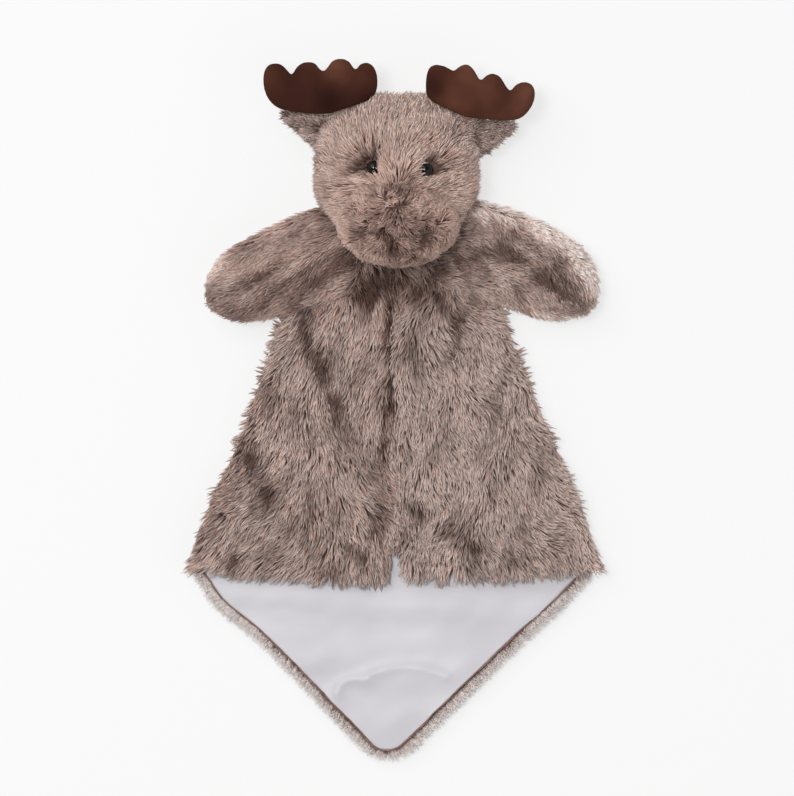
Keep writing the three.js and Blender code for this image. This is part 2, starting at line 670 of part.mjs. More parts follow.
// An antler in a front and a back of suede cloth with fibre between, cut to sit on the head through its flop
function antlerParts(name) {
  const side = sides[name];
  const turn = THREE.MathUtils.degToRad(antlerTurn[name]);
  const seamAt = (share) =>
    new THREE.Vector3(side * share * antlerLength, 0, 0).applyAxisAngle(new THREE.Vector3(0, 0, 1), turn);
  const inner = fromNeck(antlerInnerPlace[name]);
  const middle = inner.clone().add(seamAt((antlerSeamShares.inner + antlerSeamShares.outer) / 2));
  const line = new THREE.Vector3(1, 0, 0).applyAxisAngle(new THREE.Vector3(0, 0, 1), turn);
  const half = (antlerFlop.forward + antlerFlop.back) / 2;
  const flop = hinge(middle, line, [antlerFlop.back, 0, half, antlerFlop.forward]);
  const outer = antlerPillow(name, 0);
  const hollow = antlerPillow(name, suedeThick);
  const fill = antlerPillow(name, suedeThick + seamGap);
  const block = new THREE.BoxGeometry(2 * antlerLength, 2 * antlerLength, antlerThick);
  block.translate(inner.x + (side * antlerLength) / 2, inner.y, inner.z + (antlerThick + seamGap) / 2);
  const ahead = solidOf(block);
  const behind = ahead.translate([0, 0, -antlerThick - seamGap]);
  const skin = outer.subtract(hollow);
  const cut = (solid) => mainBody(clearOf(solid, headKeepOff, flop));
  return { front: cut(skin.intersect(ahead)), back: cut(skin.intersect(behind)), fill: cut(fill) };
}

// One half of an ear: a leaf from root to tip, its front hollowed, cut to sit on the head through its flop
function earParts(name) {
  const side = sides[name];
  const lift = THREE.MathUtils.degToRad(earLift[name]);
  const ahead = new THREE.Vector3(side * Math.cos(lift), Math.sin(lift), 0);
  const across = new THREE.Vector3(-ahead.y, ahead.x, 0).multiplyScalar(side);
  const root = fromNeck(earRootPlace[name]);
  const place = (u, v) => {
    const along = u * earLength;
    const belly = 1 - earBellyShare * (1 - Math.sin(Math.PI * u));
    const aside = (2 * v - 1) * earHalfWidth * belly * Math.sqrt(Math.max(0, 1 - u ** earTipPower));
    return root.clone().addScaledVector(ahead, along).addScaledVector(across, aside);
  };
  const roundness = (u, v) => Math.sqrt(Math.max(0, (1 - (2 * v - 1) ** 2) * (1 - u ** 3)));
  const leaf = (low, high) =>
    slab(...facets.ear, (u, v) => {
      const inset = Math.min(u, 1 - seamGap / earLength);
      const spot = place(inset, v);
      return { x: spot.x, y: spot.y, low: root.z + low(inset, v), high: root.z + high(inset, v) };
    });
  const half = earThick / 2;
  const thin = satinThick;
  const cup = (u, v) => -earCup * Math.sin(Math.PI * v) * Math.sin(Math.PI * Math.min(1, u + earCupShift));
  const middle = (u, v) => cup(u, v) - seamGap;
  const front = leaf(cup, (u, v) => cup(u, v) + thin + (half - thin) * roundness(u, v));
  const back = leaf((u, v) => middle(u, v) - thin - (half - thin) * roundness(u, v), middle);
  const turns = [earFlop.back, earFlop.back / 2, 0, earFlop.forward / 2, earFlop.forward];
  const flop = hinge(root, new THREE.Vector3(ahead.y, -ahead.x, 0), turns);
  const cut = (solid) => mainBody(clearOf(solid, headKeepOff, flop));
  return { front: cut(front), back: cut(back) };
}

// Assembly
const lovey = new THREE.Group();
const roughness = { fur: 0.95, satin: 0.45, suede: 0.9, eye: 0.08, plastic: 0.5 };
const add = (name, solid, colour, rough) => lovey.add(meshOf(name, solid, colour, rough));

const back = backParts();
add("back_fur", back.fur, colours.fur, roughness.fur);
add("back_satin", back.satin, colours.satin, roughness.satin);
add("hem_roll", hemRoll(), colours.furDark, roughness.fur);

const head = headParts();
add("head_cover", head.cover, colours.fur, roughness.fur);
add("head_fill", head.fill, colours.fill, roughness.fur);
add("neck_disc", head.disc, colours.furDark, roughness.fur);
add("neck_thread", neckThread(), colours.thread, roughness.fur);

const muzzle = muzzleParts();
add("muzzle_cover", muzzle.cover, colours.fur, roughness.fur);
add("muzzle_fill", muzzle.fill, colours.fill, roughness.fur);

for (const [name, side] of Object.entries(sides)) {
  const front = frontParts(side);
  add(`chest_fur_${name}`, front.chestFur, colours.fur, roughness.fur);
  add(`chest_satin_${name}`, front.chestSatin, colours.satin, roughness.satin);
  add(`flap_fur_${name}`, front.flapFur, colours.fur, roughness.fur);
  add(`flap_satin_${name}`, front.flapSatin, colours.satin, roughness.satin);

  const arm = armParts(name, [faceKeepOff, front.chestFur, front.chestSatin, back.fur, back.satin]);
  add(`arm_cover_${name}`, arm.cover, colours.fur, roughness.fur);
  add(`arm_fill_${name}`, arm.fill, colours.fill, roughness.fur);

  add(`eye_${name}`, head[`eye_${name}`], colours.eye, roughness.eye);
  add(`eye_washer_${name}`, head[`eye_washer_${name}`], colours.washer, roughness.plastic);
  add(`nostril_stitch_${name}`, muzzle[`nostril_stitch_${name}`], colours.thread, roughness.fur);

  const ear = earParts(name);
  add(`ear_front_${name}`, ear.front, colours.furDark, roughness.fur);
  add(`ear_back_${name}`, ear.back, colours.fur, roughness.fur);

  const antler = antlerParts(name);
  add(`antler_front_${name}`, antler.front, colours.suede, roughness.suede);
  add(`antler_back_${name}`, antler.back, colours.suede, roughness.suede);
  add(`antler_fill_${name}`, antler.fill, colours.fill, roughness.fur);
}

export default lovey;
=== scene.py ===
import json
import math

import bpy
import numpy as np
from mathutils import Matrix, Vector, kdtree

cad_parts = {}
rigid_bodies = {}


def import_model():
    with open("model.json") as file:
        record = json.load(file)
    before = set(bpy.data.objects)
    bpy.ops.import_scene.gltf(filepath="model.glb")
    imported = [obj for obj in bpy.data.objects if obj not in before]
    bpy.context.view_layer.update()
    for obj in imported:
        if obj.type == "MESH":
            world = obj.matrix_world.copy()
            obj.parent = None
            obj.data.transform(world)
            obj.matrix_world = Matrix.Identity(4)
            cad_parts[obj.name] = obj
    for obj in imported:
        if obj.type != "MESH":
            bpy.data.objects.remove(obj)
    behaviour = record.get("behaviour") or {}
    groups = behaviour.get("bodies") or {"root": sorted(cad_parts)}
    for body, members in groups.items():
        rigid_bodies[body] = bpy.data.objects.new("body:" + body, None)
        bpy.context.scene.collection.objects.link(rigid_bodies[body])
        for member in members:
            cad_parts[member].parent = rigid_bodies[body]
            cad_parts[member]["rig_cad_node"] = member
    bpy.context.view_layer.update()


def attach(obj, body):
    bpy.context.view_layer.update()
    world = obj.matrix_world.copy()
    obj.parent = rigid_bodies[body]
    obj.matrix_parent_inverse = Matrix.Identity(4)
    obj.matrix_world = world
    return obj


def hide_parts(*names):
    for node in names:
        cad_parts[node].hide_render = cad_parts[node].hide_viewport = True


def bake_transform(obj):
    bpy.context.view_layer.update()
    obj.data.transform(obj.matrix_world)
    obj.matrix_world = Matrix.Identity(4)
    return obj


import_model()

# Studio
# The lovey lies on a white table that is lit a little from below, under a large soft light from the upper left, and
# is seen from straight above.
mm = 0.001
photo_width = 794
pixel = 0.508
origin_pixel = (393, 430)
photo_middle = (397, 398)
lens = 250
sensor = 36
plane_height = 14
camera_height = plane_height + photo_width * pixel * lens / sensor
camera_place = pixel * np.array([photo_middle[0] - origin_pixel[0], origin_pixel[1] - photo_middle[1]])


def at_pixel(across, down, height=plane_height):
    """The place at a height that a pixel of the photograph shows, in millimetres."""
    flat = pixel * np.array([across - origin_pixel[0], origin_pixel[1] - down])
    return camera_place + (flat - camera_place) * (camera_height - height) / (camera_height - plane_height)


def seen(points):
    """Where the camera sees places on the plane that the photograph is measured on, in millimetres."""
    nearer = (camera_height - plane_height) / (camera_height - points[:, 2:3])
    return camera_place + (points[:, :2] - camera_place) * nearer


def colour(red, green, blue):
    """A colour as a screen shows it, 0 to 255, for a shader's socket."""
    def linear(c):
        c /= 255
        return c / 12.92 if c <= 0.04045 else ((c + 0.055) / 1.055) ** 2.4
    return linear(red), linear(green), linear(blue), 1.0


def set_all(thing, **values):
    for key, value in values.items():
        setattr(thing, key, value)


def adder(tree):
    """A function that adds a node to a tree. Each input is a value, or the socket that feeds it."""
    def add(kind, inputs=None, **settings):
        made = tree.nodes.new(kind)
        set_all(made, **settings)
        for key, value in (inputs or {}).items():
            if isinstance(value, bpy.types.NodeSocket):
                tree.links.new(value, made.inputs[key])
            else:
                made.inputs[key].default_value = value
        return made

    return add


def new_finish(name):
    """Starts a material: a function that adds a node to it, and one that ends it with a Principled shader."""
    material = bpy.data.materials.new(name)
    material.use_nodes = True
    material.node_tree.nodes.clear()
    add = adder(material.node_tree)

    def end(looks):
        shader = add("ShaderNodeBsdfPrincipled", looks)
        add("ShaderNodeOutputMaterial", {"Surface": shader.outputs["BSDF"]})
        return material

    return add, end


def ramp(add, factor, stops):
    """A colour that runs through stops of (place, colour)."""
    made = add("ShaderNodeValToRGB", {"Fac": factor})
    band = made.color_ramp
    for place, _ in stops[1:-1]:
        band.elements.new(place)
    for element, (place, stop_colour) in zip(band.elements, stops):
        element.position = place
        element.color = stop_colour
    return made.outputs["Color"]


def raised(add, height, strength, distance):
    """The fine relief that a texture gives a surface."""
    bump = add("ShaderNodeBump", {"Strength": strength, "Distance": distance, "Height": height})
    return bump.outputs["Normal"]


def plain_finish(name, texture, inputs, stops, looks, output="Fac", relief=None, **settings):
    """A material whose colour runs through stops by one texture, which can also give it relief."""
    add, end = new_finish(name)
    here = add("ShaderNodeTexCoord").outputs["Object"]
    pattern = add(texture, {"Vector": here, **inputs}, **settings).outputs[output]
    looks = {"Base Color": ramp(add, pattern, stops), **looks}
    if relief:
        looks["Normal"] = raised(add, pattern, *relief)
    return end(looks)


def grey(level):
    return level, level, level, 1


def start_piece(name, tool, **settings):
    """A new piece that starts as one of Blender's primitives."""
    bpy.ops.object.select_all(action="DESELECT")
    tool(**settings)
    piece = bpy.context.object
    piece.name = piece.data.name = name
    return piece


bpy.ops.object.camera_add(location=(*(camera_place * mm), camera_height * mm), rotation=(0, 0, 0))
camera = bpy.context.object
set_all(camera.data, lens=lens, sensor_width=sensor, sensor_fit="HORIZONTAL", clip_end=50)
bpy.context.scene.camera = camera

add, end = new_finish("table_white")
paper = add("ShaderNodeTexNoise", {"Scale": 3.0, "Detail": 2.0}).outputs["Fac"]
table_white = end({
    "Base Color": ramp(add, paper, [(0.3, grey(0.235)), (0.7, grey(0.245))]), "Roughness": 0.9,
    "Specular IOR Level": 0.0, "Emission Color": grey(1), "Emission Strength": 0.67,
})
table = start_piece("table", bpy.ops.mesh.primitive_plane_add, size=8, location=(0, 0, -0.2 * mm))
table.data.materials.append(table_white)

for name, place, size, power in [
    ("key_light", (-1.0, 1.0, 2.0), 2.0, 25),
    ("fill_light", (1.4, -0.9, 1.8), 2.0, 8),
    ("catch_light", (-0.5, 0.25, 2.5), 0.62, 34),
]:
    bpy.ops.object.light_add(type="AREA", location=place)
    lamp = bpy.context.object
    lamp.name = name
    lamp.data.size = size
    lamp.data.energy = power
    lamp.rotation_euler = (Vector((0, 0, 0)) - Vector(place)).to_track_quat("-Z", "Y").to_euler()

sky = bpy.data.worlds.new("studio")
bpy.context.scene.world = sky
sky.use_nodes = True
backdrop = sky.node_tree.nodes["Background"]
backdrop.inputs["Strength"].default_value = 0.52
add = adder(sky.node_tree)
look_way = add("ShaderNodeTexCoord").outputs["Generated"]
look_up = add("ShaderNodeSeparateXYZ", {"Vector": look_way}).outputs["Z"]
overhead = ramp(add, look_up, [(0.6, grey(1)), (0.85, grey(0.25))])
sky.node_tree.links.new(overhead, backdrop.inputs["Color"])
bpy.context.scene.view_settings.view_transform = "Standard"
bpy.context.scene.view_settings.look = "None"


# Back panel
# One square of faux fur, 250 mm over its pile, lies fur side down. Its side corners are folded in along two
# leaning folds, so the back shows as a kite. A knitted backing carries locks of pile, pressed flat underneath.
side_of = {"left": -1, "right": 1}
cloth_side = 250
half_diagonal = cloth_side / math.sqrt(2)
hem_y = half_diagonal - cloth_side
hem_half = cloth_side * (math.sqrt(2) - 1)
fold_slope = math.tan(math.radians(19))
neck_top = 108
backing_top = neck_top - 4
lining_top = neck_top - 16
tip_y = -half_diagonal
pile_overhang = 4.5
hem_inset = 6.5
backing_thick = 1.0
back_backing_z = 4.3
head_middle = np.array([1.8, 128, 26])


def fold_x(y):
    return hem_half - (y - hem_y) * fold_slope


def grade(x, start, end):
    """Nothing up to the start, rising evenly to one at the end and beyond."""
    return np.clip((x - start) / (end - start), 0, 1)


def bell(x, reach):
    """One in the middle, falling off to both sides within about twice the reach."""
    return np.exp(-((x / reach) ** 2))


def neckline(x, y):
    """How far the blanket is drawn down towards its top edge, under the head."""
    return 14 * bell(x - head_middle[0], 26) * grade(y, 60, 104)


def unit(vectors):
    return vectors / np.maximum(np.linalg.norm(vectors, axis=1), 1e-9)[:, None]


def ripples(points, size, seed, waves=10):
    """Soft random ups and downs of about one, with a typical size."""
    rng = np.random.default_rng(seed)
    ways = rng.normal(size=(waves, points.shape[1])) * (2.2 / size)
    starts = rng.uniform(0, 2 * math.pi, waves)
    return np.sin(points @ ways.T + starts).sum(1) * math.sqrt(2 / waves)


def rows(*parts):
    """Places or ways, one in a row, from their parts, each an array or one number for all."""
    return np.stack(np.broadcast_arrays(*parts), 1).astype(float)


def swirl(points, size, seed, other):
    """Soft random wanderings to both sides."""
    return rows(ripples(points, size, seed), ripples(points, size, other))


def mesh_rows(mesh, what="co"):
    """The places or the normals of a mesh's points, one in a row."""
    flat = np.empty(len(mesh.vertices) * 3)
    mesh.vertices.foreach_get(what, flat)
    return flat.reshape(-1, 3)


def move_points(mesh, points):
    mesh.vertices.foreach_set("co", points.ravel())
    mesh.update()


def edit_all(tool, **settings):
    """Uses one of Blender's mesh tools on the whole of the active piece."""
    bpy.ops.object.mode_set(mode="EDIT")
    bpy.ops.mesh.select_all(action="SELECT")
    tool(**settings)
    bpy.ops.object.mode_set(mode="OBJECT")


def modify(piece, kind, **settings):
    made = piece.modifiers.new("shaping", kind)
    set_all(made, **settings)
    bpy.ops.object.modifier_apply(modifier=made.name)


def grid_sheet(name, across, down, place, thick, finish, upwards=True):
    """A cloth cut from a grid: place(u, v) lays each of its points, in millimetres, and it gets its thickness."""
    piece = start_piece(name, bpy.ops.mesh.primitive_grid_add, x_subdivisions=across, y_subdivisions=down, size=2)
    flat = mesh_rows(piece.data)
    move_points(piece.data, place((flat[:, 0] + 1) / 2, (1 - flat[:, 1]) / 2) * mm)
    edit_all(bpy.ops.mesh.remove_doubles, threshold=0.02 * mm)
    faces_up = sum(face.normal.z * face.area for face in piece.data.polygons) > 0
    if faces_up != upwards:
        edit_all(bpy.ops.mesh.flip_normals)
    modify(piece, "SOLIDIFY", thickness=thick * mm, offset=-1)
    bpy.ops.object.shade_smooth()
    piece.data.materials.append(finish)
    return piece


def scatter(skin, count, seed, keep=None, from_ball=False):
    """Random roots on a skin, evenly by area, with the way the skin faces there, in millimetres. A ball's faces come
    in another order each time that Blender makes one, so they are sorted first."""
    mesh = skin.data
    mesh.calc_loop_triangles()
    corners = np.empty(len(mesh.loop_triangles) * 3, dtype=np.int64)
    mesh.loop_triangles.foreach_get("vertices", corners)
    corners = corners.reshape(-1, 3)
    if from_ball:
        corners = corners[np.lexsort(corners.T)]
    points, ways = mesh_rows(mesh) / mm, mesh_rows(mesh, "normal")
    a, b, c = points[corners[:, 0]], points[corners[:, 1]], points[corners[:, 2]]
    cross = np.cross(b - a, c - a)
    weight = np.linalg.norm(cross, axis=1)
    if keep is not None:
        weight = weight * keep((a + b + c) / 3, unit(cross))
    rng = np.random.default_rng(seed)
    chosen = rng.choice(len(corners), count, p=weight / weight.sum())
    r, s = np.sqrt(rng.uniform(size=count)), rng.uniform(size=count)
    shares = np.stack([1 - r, r * (1 - s), r * s], 1)[:, :, None]
    roots = (points[corners[chosen]] * shares).sum(1)
    return roots, unit((ways[corners[chosen]] * shares).sum(1))


lock_stops = (0.0, 0.3, 0.62, 1.0)
palest_shade = 2.6
# Between these places across the UV map locks turn almost white: painted light.
painted_light_from, painted_light_to = 0.385, 0.46


def pile_finish(name, pale, dark, warm_tint):
    """Frosted pile: brown roots and pale tips. Across the UV map locks run from dark to pale and almost white, and
    then to dark again in a redder brown. The almost-white level is painted light, for tips that catch the light."""
    add, end = new_finish(name)
    place = add("ShaderNodeUVMap", uv_map="OFBake").outputs["UV"]
    parts = add("ShaderNodeSeparateXYZ", {"Vector": place}).outputs
    black, white = grey(0), grey(1)

    def mix(share, low, high, blend="MIX"):
        return add("ShaderNodeMix", {0: share, 6: low, 7: high}, data_type="RGBA", blend_type=blend).outputs[2]

    def both_ways(start, end):
        """White between two places and their mirror images, black outside them."""
        return ramp(add, parts["X"], [(start, black), (end, white), (1 - end, white), (1 - start, black)])

    pale_lock, dark_lock = (ramp(add, parts["Y"], list(zip(lock_stops, stops))) for stops in (pale, dark))
    # The almost-white lock is painted light on the fur's tips.
    painted_light_lock = ramp(add, parts["Y"], [(0.0, colour(196, 176, 166)), (0.6, colour(250, 240, 235))])
    tint = ramp(add, parts["X"], [(0.475, (0.98, 0.99, 1.0, 1)), (0.525, warm_tint)])
    # The frosted colour is mixed with the painted light of the almost-white lock.
    frosted = mix(both_ways(painted_light_from, painted_light_to), mix(both_ways(0.0, painted_light_from), dark_lock, pale_lock), painted_light_lock)
    return end({
        "Base Color": mix(1.0, frosted, tint, "MULTIPLY"), "Roughness": 0.62, "Specular IOR Level": 0.15,
        "Sheen Weight": 0.1, "Sheen Roughness": 0.5,
    })


body_pile = pile_finish(
    "frosted_pile",
    [colour(140, 113, 103), colour(172, 145, 135), colour(210, 186, 176), colour(230, 210, 201)],
    [colour(54, 32, 25), colour(64, 40, 32), colour(82, 54, 45), colour(102, 71, 60)],
    (1.0, 0.89, 0.835, 1),
)

knit = plain_finish(
    "knitted_backing", "ShaderNodeTexVoronoi", {"Scale": 900.0},
    [(0.0, colour(112, 88, 79)), (0.7, colour(92, 70, 62))],
    {"Roughness": 0.95, "Specular IOR Level": 0.1}, output="Distance")


def model_lock():
    """One lock of pile: a slim three-sided cone, fuller at its middle, with its root at zero and its tip at one."""
    lock = start_piece("lock", bpy.ops.mesh.primitive_cone_add, vertices=3, radius1=1, radius2=0, depth=1,
                       location=(0, 0, 0.5))
    bpy.ops.object.transform_apply(location=True)
    for height in (0.4, 0.75):
        edit_all(bpy.ops.mesh.bisect, plane_co=(0, 0, height), plane_no=(0, 0, 1))
    edit_all(bpy.ops.mesh.quads_convert_to_tris)
    points = mesh_rows(lock.data)
    fullness = np.interp(points[:, 2], [0, 0.4, 0.75, 1], [0.8, 1.0, 0.72, 1])
    reach = np.maximum(np.linalg.norm(points[:, :2], axis=1), 1e-9)
    points[:, :2] *= np.where(points[:, 2] < 0.99, fullness / reach, 0)[:, None]
    faces = np.array([list(face.vertices) for face in lock.data.polygons])
    bpy.data.objects.remove(lock)
    return points, faces


lock_points, lock_faces = model_lock()
lock_flatness = 0.5
locks_a_clump = 9
pile_floor = 0.1
pressed_depth = 0.9


def comb(name, roots, normals, flow, length, width, shade, warmth=0.2, rise=(34, 3), sway=11, clump=3.5, gather=0.4,
         curl=0.05, palest=0.95, seed=1, finish=body_pile):
    """A pile of locks, each copied from the one lock: they stand up at the root, bend over along the flow, draw
    together in clumps at their tips and are pressed flat on the table. The lock's UV map holds its shade across, with
    the warm locks mirrored to the right, and root to tip upwards."""
    rng = np.random.default_rng(seed)
    count = len(roots)
    up = unit(normals)
    along = unit(flow - (flow * up).sum(1)[:, None] * up)
    side = np.cross(up, along)
    turn = np.radians(rng.normal(0, sway, count))[:, None]
    along, side = along * np.cos(turn) + side * np.sin(turn), side * np.cos(turn) - along * np.sin(turn)
    t = lock_points[:, 2][None, :]
    low = np.radians(rise[0] + rng.normal(0, 8, count))[:, None]
    high = np.radians(rise[1] + rng.normal(0, 8, count))[:, None]
    bend = np.where(np.abs(high - low) < 0.05, 0.05, high - low)
    lean = low + bend * t
    ahead = (np.sin(lean) - np.sin(low)) / bend
    above = (np.cos(low) - np.cos(lean)) / bend
    length = np.broadcast_to(length, count)[:, None]
    wave = curl * np.sin(2 * math.pi * (0.75 * t + rng.uniform(size=(count, 1)))) * t
    wave = wave + rng.normal(0, 0.06, (count, 1)) * t ** 2
    centre = roots[:, None] + (length * ahead)[..., None] * along[:, None]
    centre = centre + (length * above)[..., None] * up[:, None] + (length * wave)[..., None] * side[:, None]

    leaders = rng.choice(count, max(1, int(count / locks_a_clump)), replace=False)
    near = kdtree.KDTree(len(leaders))
    for place, leader in enumerate(leaders):
        near.insert(roots[leader], place)
    near.balance()
    mine = np.array([leaders[near.find(root)[1]] for root in roots])
    tips = centre[:, np.argmax(lock_points[:, 2])]
    pull = tips[mine] - tips
    pull *= np.minimum(1, clump / np.maximum(np.linalg.norm(pull, axis=1), 1e-6))[:, None] * gather
    centre = centre + pull[:, None] * (t ** 1.4)[..., None]

    half = np.broadcast_to(width, count)[:, None] / 2
    across, through = half * lock_points[:, 0], half * lock_flatness * lock_points[:, 1]
    square = np.cos(lean)[..., None] * up[:, None] - np.sin(lean)[..., None] * along[:, None]
    points = centre + across[..., None] * side[:, None] + through[..., None] * square
    rest = pile_floor + pressed_depth
    z = points[..., 2]
    points[..., 2] = np.where(z < rest, pile_floor + pressed_depth * np.exp((z - rest) / pressed_depth), z)

    faces = (lock_faces[None] + (np.arange(count) * len(lock_points))[:, None, None]).reshape(-1, 3)
    mesh = bpy.data.meshes.new(name)
    mesh.vertices.add(count * len(lock_points))
    mesh.vertices.foreach_set("co", (points * mm).ravel())
    mesh.loops.add(faces.size)
    mesh.loops.foreach_set("vertex_index", faces.ravel().astype(np.int32))
    mesh.polygons.add(len(faces))
    mesh.polygons.foreach_set("loop_start", np.arange(0, faces.size, 3, dtype=np.int32))
    mesh.update(calc_edges=True)
    shade = np.clip(np.broadcast_to(shade, count), 0.03, palest) / palest_shade
    warm = rng.uniform(size=count) < warmth
    shade = np.where(warm, 1 - shade, shade)
    across_lock = shade[:, None] + 0.007 * lock_points[:, 0][None]
    up_lock = np.broadcast_to(0.02 + 0.96 * lock_points[:, 2][None], across_lock.shape)
    corners = np.stack([across_lock, up_lock], 2)[:, lock_faces]
    ends = lock_points[lock_faces][:, :, 2].max(1) < 0.01
    corners[:, ends, 1, 1] += 0.02
    shades = mesh.uv_layers.new(name="OFBake")
    shades.data.foreach_set("uv", corners.ravel().astype(np.float32))
    mesh.polygons.foreach_set("use_smooth", np.ones(len(faces), dtype=bool))
    piece = bpy.data.objects.new(name, mesh)
    bpy.context.collection.objects.link(piece)
    mesh.materials.append(finish)
    return piece


def kite_half(y, inset, round_by):
    """Half the width of the back at a height, drawn in by an inset, with the bottom corner rounded."""
    lean = math.cos(math.atan(fold_slope))
    corner = tip_y + inset * math.sqrt(2)
    straight = np.minimum(fold_x(y) - inset / lean, y - corner)
    middle_y = corner + round_by * math.sqrt(2)
    arc = np.sqrt(np.maximum(round_by ** 2 - (y - middle_y) ** 2, 0))
    return np.where(y < corner + round_by / math.sqrt(2), arc, straight)


def flare(x, y):
    """How far the edge runs out beyond the straight line near the ends of the hem, more on the left."""
    return np.where(x < 0, 5.0, 2.0) * bell(y + 88, 13) * grade(np.abs(x), 40, 80)


def lean_left(y):
    """How far the lower corner lies off the middle line, to the left."""
    return 3.5 * grade(y, hem_y, tip_y)


def lay_back(inset, round_by, top, z):
    """The back's outline, drawn in by an inset, at a height of z(x, y)."""
    lowest = tip_y + inset * math.sqrt(2) + round_by * (math.sqrt(2) - 1) + 0.05

    def place(u, v):
        y = top + (lowest - top) * v
        x = (2 * u - 1) * kite_half(y, inset, round_by)
        y = y - neckline(x, y)
        x = x + np.sign(x) * flare(x, y) - lean_left(y)
        return rows(x, y, z(x, y))

    return place


back_backing = grid_sheet(
    "back_backing", 60, 96, lay_back(pile_overhang, 14, backing_top, lambda x, y: back_backing_z),
    backing_thick, knit, upwards=False)
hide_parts("back_fur")
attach(back_backing, "blanket")

tip_round = 18.5


def edge_inset(points):
    """How far places are inside the two lower edges of the square and the rounded corner between them."""
    aside = np.abs(points[:, 0] + lean_left(points[:, 1]))
    below = points[:, 1] - tip_y - tip_round * math.sqrt(2)
    straight = (points[:, 1] - tip_y - aside) / math.sqrt(2)
    return np.where(below < -aside, tip_round - np.hypot(aside, below), straight)


fringe_pile = pile_finish(
    "thin_pale_pile",
    [colour(158, 137, 129), colour(200, 182, 175), colour(240, 230, 226), colour(252, 248, 246)],
    [colour(112, 90, 82), colour(142, 120, 112), colour(190, 171, 164), colour(226, 213, 208)],
    (1.0, 0.95, 0.92, 1),
)
back_locks, rim_locks, fringe_locks = 5200, 600, 4300
back_piles = []
for name, side in side_of.items():
    half = lambda points: points[:, 0] * side > 0
    roots, ways = scatter(back_backing, back_locks, 11 + side, lambda points, ways: (ways[:, 2] < 0.3) * half(points))
    rim_roots, rim_ways = scatter(back_backing, rim_locks, 21 + side, lambda points, ways: (
        (np.abs(ways[:, 2]) < 0.5) * half(points) * (np.abs(points[:, 1] - hem_y - 15) < 15)))
    roots, ways = np.concatenate([roots, rim_roots]), np.concatenate([ways, rim_ways])
    outwards = rows(roots[:, 0] / hem_half, (roots[:, 1] + 20) / 160 - 0.35, 0)
    outwards[roots[:, 1] < hem_y] = (side * 0.8, -1, 0)
    outwards[:, :2] += 0.25 * swirl(roots[:, :2], 18, 5, 6)
    rng = np.random.default_rng(31 + side)
    rim = np.arange(len(roots)) >= back_locks
    shades = 0.5 + 0.12 * ripples(roots[:, :2], 14, 7) + 0.28 * rim + rng.normal(0, 0.12, len(roots))
    shades += 0.32 * grade(np.abs(roots[:, 0]) - fold_x(roots[:, 1]), -18, -10)
    length = np.where(rim, rng.uniform(3.8, 6.2, len(roots)), rng.uniform(7.5, 10.5, len(roots)))
    length = np.where(roots[:, 1] < hem_y + 10, np.clip(edge_inset(roots) - 0.8, 2.0, length), length)
    back_piles.append(comb(f"back_pile_{name}", roots, ways, outwards, length, np.where(rim, 0.9, 1.5), shades,
                           rise=(24, 4), sway=16, curl=0, seed=41 + side))

    roots, ways = scatter(back_backing, fringe_locks, 25 + side, lambda points, ways: (
        (edge_inset(points) < hem_inset - 0.2) * half(points) * (points[:, 1] < hem_y + 2)))
    across = np.clip((roots[:, 0] + lean_left(roots[:, 1])) / 8, -1, 1)
    rng = np.random.default_rng(35 + side)
    length = 2.6 + 4.6 * rng.uniform(size=len(roots)) ** 1.7 + 0.8 * (side > 0)
    shades = 0.92 + 0.05 * (side < 0) + rng.normal(0, 0.05, len(roots))
    back_piles.append(comb(f"fringe_{name}", roots, ways, rows(across, -1, 0), length, 0.5, shades, 0.1, rise=(18, 2),
                           sway=20, gather=0.12, curl=0.06, seed=45 + side, finish=fringe_pile))
for pile in back_piles:
    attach(pile, "blanket")


# Satin lining of the back
# One square of pale satin is sewn to the fur's inner side and turned. It shows below the hem as a triangle, with
# a few soft wrinkles, and lies under the two front halves.
add, end = new_finish("pale_satin")
here = add("ShaderNodeTexCoord").outputs["Object"]
cloudy = add("ShaderNodeTexNoise", {"Scale": 18.0, "Detail": 3.0, "Vector": here}).outputs["Fac"]
weave = add("ShaderNodeTexWave", {"Scale": 900.0, "Distortion": 1.5, "Detail": 1.0, "Vector": here},
            wave_type="BANDS", bands_direction="DIAGONAL").outputs["Fac"]
satin = end({
    "Base Color": ramp(add, cloudy, [(0.25, colour(184, 182, 187)), (0.75, colour(196, 194, 198))]),
    "Normal": raised(add, weave, 0.08, 0.0002), "Roughness": 0.42, "Specular IOR Level": 0.4, "Sheen Weight": 0.3,
})
satin_thick = 0.5
satin_z = 6.3
deepest_wrinkle = 0.35


def streak(points, start, end, width):
    """One along a streak seen in the photograph from start to end, and nothing beyond its width, in its pixels."""
    start, end = at_pixel(*start), at_pixel(*end)
    way = end - start
    place = seen(points)
    t = np.clip(((place - start) @ way) / (way @ way), 0, 1)
    away = np.linalg.norm(place - start - t[:, None] * way, axis=1)
    return bell(away, width * pixel)


satin_creases = [
    ([(337, 693), (340, 686), (346, 681), (354, 679), (366, 680)], 1.8),
    ([(370, 675), (386, 670), (404, 667), (426, 669), (446, 677)], 1.4),
]


def wrinkles(x, y):
    """Soft creases of the satin corner: a hooked one above the tip, a shallow one beside it, and slack."""
    points = np.stack([x, y, np.full_like(x, satin_z)], 1)
    lift = 0.25 * ripples(points[:, :2] * [1, 2.2], 26, 51) + 0.08 * ripples(points[:, :2], 9, 52)
    for line, height in satin_creases:
        for width, part in ((4, 0.45), (9, 0.4)):
            ridge = [streak(points, start, end, width) for start, end in zip(line, line[1:])]
            lift += part * height * np.max(ridge, 0)
    return lift


back_lining = grid_sheet(
    "back_lining", 84, 190,
    lay_back(hem_inset, 10.5, lining_top, lambda x, y: satin_z + np.maximum(wrinkles(x, y), -deepest_wrinkle)),
    satin_thick, satin)
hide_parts("back_satin")
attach(back_lining, "blanket")


